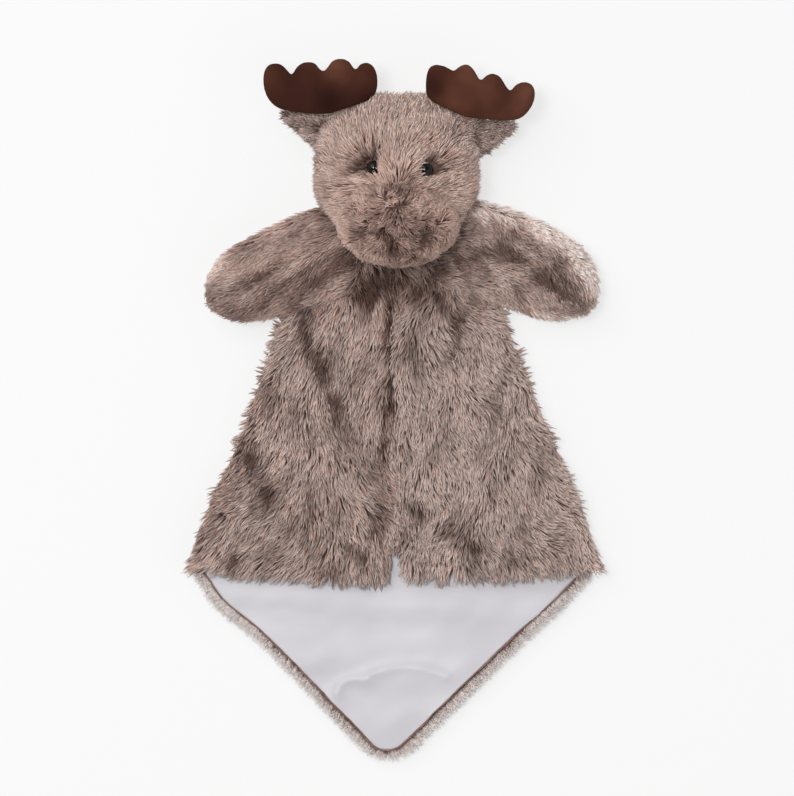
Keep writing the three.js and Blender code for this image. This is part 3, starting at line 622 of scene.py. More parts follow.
# Turned hem of the corner
# Satin and fur are sewn face to face and turned, so a thin brown roll of fur backing frames the satin corner,
# puckered a little by its stitches.
hem_finish = plain_finish(
    "hem_roll_brown", "ShaderNodeTexNoise", {"Scale": 700.0, "Detail": 2.0},
    [(0.3, colour(104, 79, 71)), (0.7, colour(138, 110, 101))], {"Roughness": 0.85}, relief=(0.5, 0.0004))
roll_radius = 0.5
roll_corner = 10.5
straight_steps, corner_steps = 110, 12
roll_y = tip_y + hem_inset * math.sqrt(2)
arc_y = roll_y + roll_corner * math.sqrt(2)
roll_start = np.array([roll_y - hem_y - 3, hem_y + 3])
corner_start = np.array([0, arc_y]) - roll_corner / math.sqrt(2)
straight = roll_start + (corner_start - roll_start) * np.arange(straight_steps)[:, None] / straight_steps
angles = np.radians(np.linspace(-135, -45, corner_steps + 1))
corner = rows(roll_corner * np.cos(angles), arc_y + roll_corner * np.sin(angles))
path = np.concatenate([straight, corner, straight[::-1] * [-1, 1]])
wander = 0.16 * ripples(path, 9, 53) + 0.08 * ripples(path, 3, 54)
beside = path[:, 0] + np.copysign(1, path[:, 0]) * (0.7 * wander + flare(*path.T)) - lean_left(path[:, 1])
roll = start_piece("hem_edge", bpy.ops.curve.primitive_bezier_curve_add)
roll.data.splines.clear()
line = roll.data.splines.new("POLY")
line.points.add(len(path) - 1)
for knot, x, y, off in zip(line.points, beside, path[:, 1] - 0.7 * wander, wander):
    knot.co = (x * mm, y * mm, (satin_z + 0.15) * mm, 1)
    knot.radius = 0.9 + 0.9 * off
set_all(roll.data, dimensions="3D", bevel_depth=roll_radius * mm, bevel_resolution=2, use_fill_caps=True)
bpy.ops.object.convert(target="MESH")
roll = bpy.context.object
roll.data.materials.append(hem_finish)
bpy.ops.object.shade_smooth()
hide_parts("hem_roll")
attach(roll, "blanket")


# Front of the blanket
# The square's two side corners are folded in to meet down the middle. Each half wraps round its side fold and is
# held at the neck and under the arm.
front_z = 9.4
fold_middle_z = 6.9
fold_round = 2.6
slit_top = neck_top - 30


def slit_gap(y):
    """Half the gap of the slit, which opens towards the hem."""
    return 0.1 + 8.6 * grade(y, -48, -76) ** 1.3


def slit_shift(y):
    """How far the slit lies off the middle line, to the right."""
    return 1.2 * grade(y, 40, 0)


def fold_bulge(side, y):
    """How far the side fold's lower part bulges beyond its straight line."""
    return 5 * grade(y, 46, -16) + 1.8 * grade(y, -25, -45) if side > 0 else 5 * grade(y, 0, -40)


def hem_sag(x):
    """How far the cut edge hangs below the straight hem, most beside the slit."""
    return 5.0 * np.clip(1 - (np.abs(x) / 96) ** 2, 0, 1) * np.where(x > 0, 0.8, 1.0)


def front_rise(x, y):
    """Soft folds that fan out from the neck and fade towards the hem, the body's fullness between them, and the
    groove of the slit."""
    fan = np.degrees(np.arctan2(x - 2, neck_top + 14 - y))
    reach = np.hypot(x - 2, neck_top + 14 - y)
    fade = grade(reach, 0, 50) * grade(reach, 237.5, 47.5)
    folds = 1.4 * fade * np.sin(np.radians(fan * 14 + 40 * np.sin(reach / 45)))
    groove = 2.2 * bell(x, 5) * grade(y, slit_top + 14, slit_top - 6)
    return folds + 0.8 * ripples(rows(x, y), 24, 61) + 1.2 * bell(y - 70, 22) - groove


def lay_front(side, drop, inset, wrap, hem_in, top_edge):
    """One front half, from the slit to the side fold and round it, lowered by a drop and drawn in by an inset."""
    def place(u, v):
        y = top_edge + (hem_y + hem_in - top_edge) * v
        edge = fold_x(y) - pile_overhang - 0.5 - fold_round + fold_bulge(side, y)
        flat_share = 1 - wrap
        across = np.clip(u / flat_share, 0, 1)
        inner = slit_gap(y) + side * slit_shift(y) + (inset - pile_overhang)
        x = inner + (edge - inner) * across
        round_it = np.clip((u - flat_share) / max(wrap, 1e-6), 0, 1) * math.pi
        radius = fold_round - drop * 0.9
        calm = grade(edge - x, 0, 10) * np.clip((y - hem_y) / 12, 0.25, 1)
        top = front_z - drop + np.maximum(front_rise(side * x, y), -1.9) * calm
        z = np.where(round_it > 0, fold_middle_z + radius * np.cos(round_it), top)
        if wrap > 0:
            to_fold = fold_middle_z + radius - front_z + drop
            z = np.where(round_it == 0, top + to_fold * (1 - calm) ** 2, z)
            z = z - np.maximum(z - back_backing_z - 0.4, 0) * grade(v, 0.035, 0) ** 2
        x = np.where(round_it > 0, edge + radius * np.sin(round_it), x)
        y = y - hem_sag(side * x) * v ** 3
        y = y - neckline(side * x, y)
        return rows(side * x, y, z)
    return place


def spot(points, at, reach):
    """One in the middle of a spot seen in the photograph and nothing beyond its reach, both in its pixels."""
    away = (seen(points) - at_pixel(*at)) / (np.array(reach) * pixel)
    return np.exp(-(away ** 2).sum(1))


def mottle(points, seed, coarse=0.1, middling=0.15, fine=0.13):
    """Uneven tone of a frosted pile, at three sizes."""
    return (coarse * ripples(points, 24, seed) + middling * ripples(points, 9, seed + 1)
            + fine * ripples(points, 4, seed + 2))


mark_share = 0.78


def streaks(points, marks):
    """Streaks added up, each given by its strength, start, end and width."""
    return sum(strength * streak(points, start, end, width) for strength, start, end, width in marks)


def marked(roots, flow, length, marks):
    """The tone that marks seen in the photograph give to locks, taken half-way along them."""
    middles = roots + 0.55 * np.broadcast_to(length, len(roots))[:, None] * unit(flow)
    return mark_share * streaks(middles, marks)


front_warmth = [
    (0.5, (252, 370), (205, 500), 22), (0.45, (330, 280), (460, 280), 30), (0.3, (385, 300), (382, 560), 8),
]
# Among these marks, the dark lines along the slit, in the folds and partings that fan out from the neck, and under
# the chin are painted shade; under the chin it is the head's shadow painted on the chest.
front_marks = {
    "left": [
        (-0.85, (390, 304), (387, 350), 6), (-0.75, (387, 350), (389, 408), 6), (-0.55, (389, 408), (384, 445), 6),
        (-0.6, (384, 450), (380, 492), 7), (-0.3, (376, 500), (374, 535), 6), (-0.4, (303, 306), (312, 352), 8),
        (-0.5, (312, 352), (333, 402), 9), (-0.4, (333, 402), (345, 432), 10), (-0.2, (345, 440), (352, 480), 10),
        (-0.35, (249, 425), (247, 455), 9), (-0.5, (250, 460), (262, 486), 12), (-0.45, (255, 498), (275, 504), 10),
        (-0.25, (225, 480), (240, 510), 14), (-0.3, (222, 563), (262, 556), 6), (-0.4, (262, 540), (280, 562), 8),
        (-0.4, (303, 542), (312, 552), 8), (-0.6, (344, 546), (364, 557), 5), (-0.5, (364, 557), (372, 572), 5),
        (-0.4, (316, 570), (336, 572), 6), (-0.35, (300, 528), (270, 520), 8), (0.25, (330, 334), (362, 346), 12),
        (0.2, (297, 380), (297, 416), 8), (0.22, (272, 425), (276, 470), 10), (0.22, (308, 465), (297, 490), 11),
        (0.22, (369, 380), (369, 440), 6), (0.25, (227, 540), (236, 548), 9), (0.25, (352, 505), (352, 528), 9),
        (0.25, (327, 546), (330, 554), 6), (0.3, (349, 564), (350, 574), 5), (-0.7, (352, 282), (392, 282), 13),
        (-0.4, (345, 298), (388, 300), 9), (-0.4, (319, 280), (321, 286), 7), (-0.45, (313, 305), (314, 312), 5),
        (-0.5, (352, 294), (372, 299), 6), (0.25, (190, 587), (385, 594), 7),
    ],
    "right": [
        (-0.5, (413, 290), (413, 350), 8), (-0.35, (414, 350), (422, 372), 6), (-0.7, (473, 297), (458, 322), 6),
        (-0.7, (458, 322), (450, 356), 6), (-0.3, (450, 356), (432, 384), 6), (0.3, (433, 304), (434, 362), 5),
        (0.25, (396, 318), (400, 345), 4), (0.2, (400, 380), (401, 440), 5), (0.25, (494, 306), (494, 345), 8),
        (0.25, (483, 340), (482, 375), 8), (0.25, (466, 380), (462, 420), 10), (0.32, (430, 482), (478, 488), 15),
        (0.25, (505, 446), (507, 470), 9), (-0.4, (480, 444), (480, 460), 5), (-0.35, (489, 482), (492, 498), 6),
        (-0.25, (427, 424), (429, 430), 6), (-0.2, (416, 455), (422, 468), 7), (-0.6, (402, 500), (423, 514), 7),
        (-0.4, (423, 516), (446, 534), 7), (-0.25, (446, 534), (474, 547), 7), (-0.3, (474, 548), (515, 560), 6),
        (-0.25, (515, 560), (545, 556), 6), (-0.5, (404, 512), (406, 545), 6), (-0.3, (400, 550), (425, 572), 8),
        (0.38, (395, 490), (395, 566), 4.5), (-0.25, (516, 525), (526, 535), 7), (0.2, (520, 480), (545, 520), 12),
        (-0.9, (392, 279), (428, 281), 14), (-0.6, (436, 270), (446, 268), 8), (-0.5, (396, 298), (440, 296), 10),
        (-0.4, (441, 302), (443, 312), 6), (0.2, (458, 276), (470, 288), 6), (0.25, (408, 588), (600, 582), 7),
        (-0.2, (510, 440), (530, 455), 8), (-0.2, (497, 405), (500, 415), 7), (0.16, (560, 500), (585, 545), 9),
    ],
}
front_locks = 12300

for name, side in side_of.items():
    backing = grid_sheet(f"front_backing_{name}", 84, 130, lay_front(
        side, 0, pile_overhang + 0.5, 0.12, pile_overhang, backing_top), backing_thick, knit)
    roots, ways = scatter(backing, front_locks, 71 + side, lambda points, ways: (
        (ways[:, 2] > 0.3) | ((side * ways[:, 0] > 0.3) & (ways[:, 2] > -0.5))))
    flat = roots[:, :2]
    x, y = flat.T
    share = np.clip(x / fold_x(y), -1.1, 1.1)
    slant = 50 * share * np.abs(share) ** 0.8 + 13 * ripples(flat, 20, 72 + side) + 8 * ripples(flat, 7, 75)
    slant = np.radians(slant + 22 * grade(y, 40, 80) * share)
    flow = rows(np.sin(slant), -np.cos(slant), 0)
    rng = np.random.default_rng(81 + side)
    length = rng.uniform(8.0, 11.0, len(x)) * np.where(np.abs(ways[:, 0]) > 0.5, 0.75, 1)
    shades = 0.77 + 0.05 * side + mottle(flat * [1, 0.55], 82 + 5 * side, 0.03, 0.08, 0.12)
    shades += rng.normal(0, 0.1, len(x)) + marked(roots, flow, length, front_marks[name])
    warmth = 0.14 - 0.08 * side + 0.35 * spot(roots, (200, 560), (20, 14)) + streaks(roots, front_warmth)
    pile = comb(f"front_pile_{name}", roots, ways, flow, length, rng.uniform(0.75, 1.1, len(x)), shades, warmth,
                gather=0.3, seed=91 + side)

    lining = grid_sheet(f"front_lining_{name}", 80, 120, lay_front(
        side, 1.7, hem_inset + 1.5, 0.0, hem_inset, lining_top), satin_thick, satin, upwards=False)

    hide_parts(f"chest_fur_{name}", f"flap_fur_{name}")
    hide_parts(f"chest_satin_{name}", f"flap_satin_{name}")
    for piece, finish in ((backing, "fur"), (pile, "fur"), (lining, "satin")):
        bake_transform(piece)


# Head
# A stuffed ball of fur fabric, a little flattened, with hollows for the eyes. It lies on its back at the top of
# the blanket, and its pile runs away from the muzzle over the forehead, cheeks and crown.
head_radii = np.array([44, 44, 26])
head_pile_depth = np.array([7.0, 6.5, 5.0])
crown_power = 3
head_floor = 1.2
wad_faces = 3500
eye_places = {"left": (372.0, 167.0), "right": (428.0, 169.0)}


def ball_skin(name, middle_place, radii, shape, around=64, down=40):
    """A stuffed skin from a ball that shape(points) models, in millimetres."""
    piece = start_piece(name, bpy.ops.mesh.primitive_uv_sphere_add, segments=around, ring_count=down, radius=1)
    move_points(piece.data, shape(mesh_rows(piece.data) * radii + middle_place) * mm)
    bpy.ops.object.shade_smooth()
    piece.data.materials.append(knit)
    return piece


def head_shape(points):
    """A flattened ball, squarer at the crown, drawn in at the jaw, with a brow and hollows round the eyes."""
    away = (points - head_middle) / (head_radii - head_pile_depth)
    flat = np.abs(away[:, :2])
    boxy = np.linalg.norm(flat, axis=1) / np.maximum((flat ** crown_power).sum(1) ** (1 / crown_power), 1e-6)
    boxy = np.where(away[:, 1] > 0, boxy, 1)[:, None]
    points[:, :2] = head_middle[:2] + (points[:, :2] - head_middle[:2]) * boxy
    corner = np.clip(away[:, 1] * 1.9 - 0.5, 0, 1) * np.clip(flat[:, 0] * 2.6 - 0.7, 0, 1)
    points[:, 2] *= 1 - 0.3 * corner
    points[:, 0] -= 0.24 * (points[:, 0] - head_middle[0]) * grade(points[:, 1], 118, 94)
    face = np.clip(away[:, 2], 0, 1)
    for eye in eye_places.values():
        points[:, 2] -= 3.6 * face * spot(points, eye, (16, 15))
    points[:, 2] += 3.0 * face * spot(points, (400, 172), (16, 32))
    points[:, 2] += 2.0 * face * spot(points, (398, 135), (50, 24))
    points[:, 2] = np.maximum(points[:, 2], head_floor)
    return points


fibre = plain_finish(
    "loose_fibre", "ShaderNodeTexNoise", {"Scale": 260.0, "Detail": 5.0},
    [(0.3, (0.78, 0.77, 0.75, 1)), (0.7, (0.93, 0.92, 0.9, 1))], {"Roughness": 0.9})


def wad_in(skin, name, inset, node):
    """The loose fibre that fills a skin: a copy of the skin, drawn in."""
    bpy.ops.object.select_all(action="DESELECT")
    skin.select_set(True)
    bpy.context.view_layer.objects.active = skin
    bpy.ops.object.duplicate()
    wad = bpy.context.object
    wad.name = wad.data.name = name
    modify(wad, "DISPLACE", strength=-inset * mm, mid_level=0)
    modify(wad, "DECIMATE", ratio=min(1, wad_faces / len(wad.data.polygons)))
    wad.data.materials.clear()
    wad.data.materials.append(fibre)
    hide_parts(node)
    return wad


head_skin = ball_skin("head_skin", head_middle, head_radii - head_pile_depth, head_shape)
head_wad = wad_in(head_skin, "head_wad", 1.5, "head_fill")
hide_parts("head_cover")
for piece in (head_skin, head_wad):
    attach(piece, "head")

muzzle_middle = np.array([2.5, 104, 40])
muzzle_radii = np.array([32, 23, 27])
muzzle_pile_depth = 4.0


def away_from_eyes(roots, reach):
    """Nothing on an eye, rising to one beyond its reach."""
    clear = np.ones(len(roots))
    for eye in eye_places.values():
        clear = np.minimum(clear, np.linalg.norm(seen(roots) - at_pixel(*eye), axis=1) / reach)
    return np.clip(clear, 0, 1)


def muzzle_reach(points):
    """How far a place is from the muzzle's middle across the face, one at its edge."""
    return np.linalg.norm((points[:, :2] - muzzle_middle[:2]) / muzzle_radii[:2], axis=1)


def outside(points, middle, radii):
    """Whether places are outside an egg shape."""
    return (((points - middle) / radii) ** 2).sum(1) > 1


def muzzle_rim(points, reach, width):
    """One along the muzzle's lower edge, at a reach from its middle, where light and shade are painted round it."""
    return bell(muzzle_reach(points) - reach, width) * grade(points[:, 1], 122, 112)


face_edge_z = 17
in_nape = lambda points, ways: points[:, 2] <= face_edge_z
in_face = lambda points, ways: (
    (points[:, 2] > face_edge_z) * (away_from_eyes(points, 3.4) >= 1) * outside(points, muzzle_middle, [25, 16, 22]))
# Among the face's marks, the dark ones beside the eyes, at the partings above the nose, at the jaw and where the head
# meets the ears and the arms are painted shade.
face_marks = [
    (0.2, (335, 150), (352, 118), 12), (0.35, (376, 97), (425, 99), 8), (0.2, (402, 110), (412, 118), 9),
    (-0.25, (394, 135), (398, 154), 7), (-0.2, (422, 140), (430, 154), 6), (-0.2, (380, 136), (384, 148), 6),
    (-0.45, (362, 164), (345, 174), 5), (-0.4, (438, 166), (450, 176), 6), (0.22, (340, 188), (340, 222), 7),
    (-0.4, (328, 178), (331, 197), 4), (-0.6, (338, 246), (344, 256), 5), (-0.2, (468, 196), (468, 222), 7),
    (-0.4, (472, 238), (452, 254), 7), (-0.5, (476, 138), (482, 154), 7), (-0.5, (312, 130), (317, 143), 6),
    (-0.5, (409, 184), (408, 196), 9), (-0.35, (390, 192), (398, 193), 6), (-0.3, (372, 180), (372, 200), 6),
    (0.3, (452, 196), (453, 232), 6), (0.3, (452, 178), (468, 206), 8), (0.2, (470, 150), (474, 214), 10),
]
for name, part, count in (("face", 1, 12300), ("nape", -1, 7000)):
    roots, ways = scatter(head_skin, count, 101 + part, in_face if part > 0 else in_nape, from_ball=True)
    flow = unit(rows(roots[:, 0] - 2, roots[:, 1] - 112, -6))
    flow[:, :2] += 0.22 * swirl(roots, 16, 103, 104)
    flow[:, :2] += 0.2 * swirl(roots, 6, 109, 110)
    rng = np.random.default_rng(105 + part)
    shades = 1.0 + mottle(roots, 106, 0.03, 0.08, 0.14) + rng.normal(0, 0.12, len(roots))
    length = rng.uniform(8.0, 11.0, len(roots)) * (1 - 0.4 * streak(roots, (486, 172), (486, 208), 9))
    if part > 0:
        for eye in eye_places.values():
            out = unit(np.pad(seen(roots) - at_pixel(*eye), ((0, 0), (0, 1))))
            near = spot(roots, eye, (12, 12))[:, None]
            flow = flow * (1 - near) + out * near
            # Darker beside and above each eye: painted shade of its hollow. The fur just below it is paler.
            shades -= 0.55 * spot(roots, (eye[0] + (9 if eye[0] > 400 else -9), eye[1]), (14, 9))
            shades -= 0.3 * spot(roots, (eye[0], eye[1] - 6), (9, 7))
            shades += 0.5 * spot(roots, (eye[0] + 2, eye[1] + 12), (12, 5))
        length = length * (0.3 + 0.7 * away_from_eyes(roots, 10))
        # A darker ring on the cheeks just beyond the muzzle: painted shade under its raised edge.
        shades -= 0.6 * muzzle_rim(roots, 1.2, 0.14)
        shades += marked(roots, flow, length, face_marks)
    width = rng.uniform(0.7, 1.05, len(roots)) * (1.0 if part > 0 else 1.55)
    # Its palest locks reach a little into the pile's almost-white painted light.
    pile = comb(f"head_pile_{name}", roots, ways, flow, length, width, shades,
                0.6 + 0.3 * spot(roots, (400, 200), (60, 40)), rise=(38, 5), sway=10, gather=0.32, palest=1.03,
                seed=108 + part)
    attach(pile, "head")


# Muzzle
# A stuffed dome of the same fur, clipped shorter and curlier, sewn to the face. Two dents for the nostrils are
# drawn in by stitches, and the pile in and round them is painted darker, as the shade of the dents and partings.
nostrils = {"left": (374, 238), "right": (427, 233)}


def muzzle_shape(points):
    """A dome with two dents for the nostrils and a soft groove between them."""
    front = grade(points[:, 2], muzzle_middle[2], muzzle_middle[2] + 14)
    for dent in nostrils.values():
        points[:, 2] -= 4.4 * front * spot(points, dent, (12, 9))
    points[:, 2] -= 2.4 * front * spot(points, (397, 246), (6, 20))
    points[:, 2] += 1.6 * front * spot(points, (398, 214), (20, 14))
    points[:, 1] += 2.5 * grade(points[:, 1], 112, 126)
    return points


# Among the muzzle's marks, the dark ones in and round the nostril dents, above the nose and under the muzzle are
# painted shade; the pale ones along its edges are painted light where the rim catches it.
muzzle_marks = [
    (-0.4, (350, 217), (404, 217), 4), (-0.6, (358, 231), (372, 230), 6), (-0.65, (386, 230), (392, 252), 6),
    (-0.45, (424, 224), (432, 240), 7), (-0.3, (414, 240), (428, 247), 6), (-0.3, (362, 242), (378, 250), 7),
    (-0.28, (368, 230), (424, 234), 16), (-0.3, (400, 226), (412, 250), 9), (-0.25, (376, 250), (412, 256), 9),
    (0.35, (346, 240), (356, 256), 5), (0.25, (371, 226), (375, 226), 3), (-0.25, (394, 262), (426, 261), 5),
    (0.3, (412, 242), (425, 250), 5), (0.3, (450, 200), (454, 230), 5), (-0.5, (409, 184), (408, 196), 9),
    (-0.35, (390, 192), (398, 193), 6), (-0.3, (372, 180), (372, 200), 6), (0.3, (340, 192), (342, 222), 6),
    (0.4, (430, 257), (440, 252), 5), (0.25, (372, 257), (386, 266), 6), (-0.25, (398, 204), (396, 212), 6),
    (0.2, (352, 198), (362, 208), 6), (0.2, (425, 200), (440, 212), 7), (0.12, (368, 258), (432, 258), 8),
]
muzzle_skin = ball_skin("muzzle_skin", muzzle_middle, muzzle_radii - muzzle_pile_depth, muzzle_shape, 56, 36)
muzzle_wad = wad_in(muzzle_skin, "muzzle_wad", 1.5, "muzzle_fill")
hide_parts("muzzle_cover")
for piece in (muzzle_skin, muzzle_wad):
    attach(piece, "head")

roots, ways = scatter(muzzle_skin, 9200, 111, lambda points, ways: (
    outside(points, head_middle, head_radii - [9, 9, 6]) * (away_from_eyes(points, 4) >= 1)), from_ball=True)
flow = unit(rows(roots[:, 0] - 2, roots[:, 1] - 108, -4))
flow[:, :2] += 0.6 * swirl(roots, 9, 113, 114)
flow[:, :2] += 0.5 * swirl(roots, 4.5, 119, 120)
rng = np.random.default_rng(115)
length = rng.uniform(4.6, 7.0, len(roots))
shades = 0.73 + mottle(roots, 116, 0.02, 0.06, 0.14) + rng.normal(0, 0.12, len(roots))
# A paler ring at the muzzle's edge: painted light on its rim.
shades += 0.2 * muzzle_rim(roots, 0.9, 0.12)
shades += marked(roots, flow, length, muzzle_marks)
pile = comb("muzzle_pile", roots, ways, flow, length, rng.uniform(0.7, 1.05, len(roots)), shades, 0.9, rise=(46, 8),
            sway=18, clump=3, gather=0.38, curl=0.12, seed=118)
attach(pile, "head")


# Eyes
# Two domed buttons of black plastic, polished, each with a lock washer set behind it.
black = plain_finish(
    "eye_black", "ShaderNodeTexNoise", {"Scale": 300.0},
    [(0.3, (0.002, 0.0012, 0.001, 1)), (0.7, (0.004, 0.002, 0.002, 1))], {"Roughness": 0.06, "IOR": 1.37})
washer_white = plain_finish(
    "washer_white", "ShaderNodeTexNoise", {"Scale": 500.0},
    [(0.3, (0.74, 0.73, 0.7, 1)), (0.7, (0.8, 0.79, 0.76, 1))], {"Roughness": 0.45})
eye_radius = 3.6
eye_height = 47
eye_dome = 2.9
eye_flat = 0.35
eye_sink = 5.0
washer_sink = 7.5
washer_ring, washer_wire, washer_flatness = 4.0, 1.1, 0.7
for name in side_of:
    middle = at_pixel(*eye_places[name], eye_height)
    dx, dy = (middle - head_middle[:2]) / head_radii[:2]
    dz = math.sqrt(1 - dx * dx - dy * dy)
    facing = Vector((dx, dy, dz) / head_radii).normalized()
    turn = facing.to_track_quat("Z", "Y").to_matrix().to_4x4()
    seat = Vector((*middle, head_middle[2] + head_radii[2] * dz)) - eye_sink * facing
    eye = start_piece(f"eye_button_{name}", bpy.ops.mesh.primitive_uv_sphere_add, segments=40, ring_count=24,
                      radius=1)
    points = mesh_rows(eye.data)
    points[:, 2] = np.maximum(points[:, 2], -eye_flat)
    move_points(eye.data, points * [eye_radius, eye_radius, eye_dome])
    eye.data.transform(Matrix.Scale(mm, 4) @ Matrix.Translation(seat) @ turn)
    bpy.ops.object.shade_smooth()
    eye.data.materials.append(black)
    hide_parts(f"eye_{name}")
    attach(eye, "head")

    washer = start_piece(f"eye_lock_{name}", bpy.ops.mesh.primitive_torus_add, major_segments=32, minor_segments=8,
                         major_radius=washer_ring * mm, minor_radius=washer_wire * mm)
    back_of_it = Matrix.Translation((seat - washer_sink * facing) * mm)
    washer.data.transform(back_of_it @ turn @ Matrix.Diagonal((1, 1, washer_flatness, 1)))
    bpy.ops.object.shade_smooth()
    washer.data.materials.append(washer_white)
    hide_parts(f"eye_washer_{name}")
    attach(washer, "head")


# Arms
# Two stuffed paddles of the same fur with round hands, sewn in at the shoulders. They lie out to the sides, and
# a shallow crease runs along each from the neck.
arm_start = {"left": (-18, 92), "right": (18, 95)}
arm_bend = {"left": (-60, 84), "right": (67, 92)}
arm_hand = {"left": (-76.5, 74), "right": (84.6, 76.6)}
shoulder_radius = 27
hand_radius = {"left": 20.0, "right": 22.5}
arm_root_z, arm_hand_z = 9.5, 13
arm_root_height, arm_hand_height = 6.5, 13
arm_pile_depth = 3.5
arm_floor = 1.0
arm_locks = 11500


def arm_spine(name, t):
    start, bend, hand = (np.array(place[name], float) for place in (arm_start, arm_bend, arm_hand))
    reach = hand - bend
    hand = hand + reach / np.linalg.norm(reach) * (hand_radius[name] - arm_pile_depth - 1.5)
    t = t[:, None]
    place = (1 - t) ** 2 * start + 2 * t * (1 - t) * bend + t ** 2 * hand
    way = 2 * (1 - t) * (bend - start) + 2 * t * (hand - bend)
    return place, unit(way)


def arm_shape(name):
    """A paddle along the arm's spine, with a round end and a shallow crease."""
    side = side_of[name]

    def shape(points):
        t = np.clip((points[:, 2] + 1) / 2, 0, 1)
        ring = rows(points[:, 1], -points[:, 0])
        ring = ring / np.maximum(np.linalg.norm(ring, axis=1), 1e-6)[:, None]
        place, way = arm_spine(name, t)
        ends = np.sqrt(1 - grade(t, 0.66, 1) ** 2) * np.sqrt(1 - grade(t, 0.12, 0) ** 2)
        swell = np.sin(math.pi / 2 * t)
        taper = (shoulder_radius - hand_radius[name]) * swell ** 1.5
        wide = (shoulder_radius - taper - arm_pile_depth) * ends
        high = (arm_root_height + (arm_hand_height - arm_root_height) * swell - 3.6) * ends
        flat = place + rows(-way[:, 1], way[:, 0]) * (ring[:, 0] * wide)[:, None]
        crease = 1.6 * bell(ring[:, 0] + 0.25 * side, 0.22) * (1 - t) ** 0.7 * (ring[:, 1] > 0)
        z = arm_root_z + (arm_hand_z - arm_root_z) * swell + ring[:, 1] * high - crease
        return rows(*flat.T, np.maximum(z, arm_floor))
    return shape


arm_marks = {
    "left": [
        (-0.45, (228, 293), (258, 277), 6), (-0.35, (258, 277), (306, 252), 3), (0.3, (236, 304), (288, 272), 3.5),
        (0.3, (288, 272), (334, 242), 3.5), (-0.35, (262, 300), (300, 274), 5), (-0.4, (300, 274), (345, 248), 5),
        (-0.3, (218, 300), (236, 306), 5), (-0.4, (310, 284), (352, 258), 8), (-0.3, (286, 300), (330, 276), 6),
        (-0.3, (318, 214), (338, 238), 6), (-0.2, (262, 248), (300, 236), 4), (0.2, (250, 318), (276, 318), 4),
        (-0.25, (244, 314), (262, 304), 4),
    ],
    "right": [
        (-0.65, (482, 250), (519, 262), 5), (-0.5, (450, 250), (482, 262), 7), (-0.4, (518, 238), (560, 262), 6),
        (-0.5, (504, 246), (560, 284), 9), (-0.65, (534, 276), (562, 292), 5), (-0.6, (562, 292), (584, 300), 4),
        (-0.3, (552, 306), (572, 306), 4), (0.3, (480, 262), (512, 277), 3.5), (0.3, (512, 277), (548, 302), 3.5),
        (-0.4, (492, 266), (528, 288), 3), (-0.3, (474, 232), (500, 226), 5), (-0.25, (456, 266), (500, 286), 9),
        (0.2, (505, 290), (545, 316), 6), (0.3, (552, 322), (590, 312), 4), (-0.3, (552, 270), (580, 288), 5),
    ],
}
# Pale rims along the arms' edges: painted light where the fur's tips catch it, up to the pile's almost-white level.
arm_rim_light = {
    "left": [(0.45, (206, 284), (236, 240), 9), (0.25, (240, 238), (300, 210), 7)],
    "right": [
        (0.75, (480, 208), (545, 226), 15), (0.85, (545, 228), (578, 250), 14), (0.75, (580, 252), (596, 290), 11),
        (0.3, (505, 308), (590, 322), 6),
    ],
}

for name, side in side_of.items():
    skin = ball_skin(f"arm_skin_{name}", 0, 1, arm_shape(name), 48, 44)
    edit_all(bpy.ops.mesh.normals_make_consistent, inside=False)
    wad = wad_in(skin, f"arm_wad_{name}", 1.2, f"arm_fill_{name}")

    roots, ways = scatter(skin, arm_locks, 121 + side, lambda points, ways: 1 - 0.35 * (ways[:, 2] < -0.2),
                          from_ball=True)
    _, way = arm_spine(name, grade(np.abs(roots[:, 0]), 18, 96))
    flow = rows(way[:, 0], way[:, 1] - 0.35, 0)
    flow[:, :2] += 0.3 * swirl(roots, 14, 123 + side, 124)
    rng = np.random.default_rng(125 + side)
    length = rng.uniform(7.0, 10.0, len(roots))
    outwards = np.subtract(arm_hand[name], arm_bend[name])
    outwards = outwards / np.linalg.norm(outwards)
    grain = rows(0.3 * roots[:, :2] @ outwards, roots[:, :2] @ (-outwards[1], outwards[0]))
    shades = 0.66 + 0.05 * side + mottle(grain, 126 + 5 * side, 0, 0.07, 0.13)
    # Locks that face sideways are paler, more on the right arm: painted light on the arms' edges.
    shades += rng.normal(0, 0.1, len(roots)) + (0.16 + 0.08 * side) * (1 - np.clip(ways[:, 2], 0, 1))
    # The front's marks go on too, so the painted shadow under the chin runs on over the arms' inner ends.
    shades += marked(roots, flow, length, arm_marks[name] + front_marks[name])
    # The rims' painted light goes on last, above the palest tone.
    shades = np.clip(shades, 0.1, 0.9) + marked(roots, flow, length, arm_rim_light[name])
    width = rng.uniform(0.75, 1.1, len(roots)) * np.where(ways[:, 2] < -0.1, 1.6, 1)
    pile = comb(f"arm_pile_{name}", roots, ways, flow, length, width, shades, 0.45 - 0.1 * side, gather=0.34,
                palest=1.15, seed=128 + side)
    fold_way = Vector((-side * fold_slope, 1, 0)).normalized()
    outwards = Vector((side * fold_way.y, -side * fold_way.x, 0))
    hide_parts(f"arm_cover_{name}")
    for piece in (skin, pile, wad):
        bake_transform(piece)


# Ears
# Two small leaves of fur, front and back sewn together, set in the head seam behind the antlers.
ear_root = {"left": (-35.0, 151.2, 19.5), "right": (38.5, 148.0, 19.5)}
ear_lift = {"left": 25, "right": 17}
ear_length = {"left": 24, "right": 25.5}
ear_half_width = {"left": 8.4, "right": 10.5}
ear_leaf_inset = 2.6
ear_thick = 1.6
ear_cup = 1.2
ear_locks = 2200


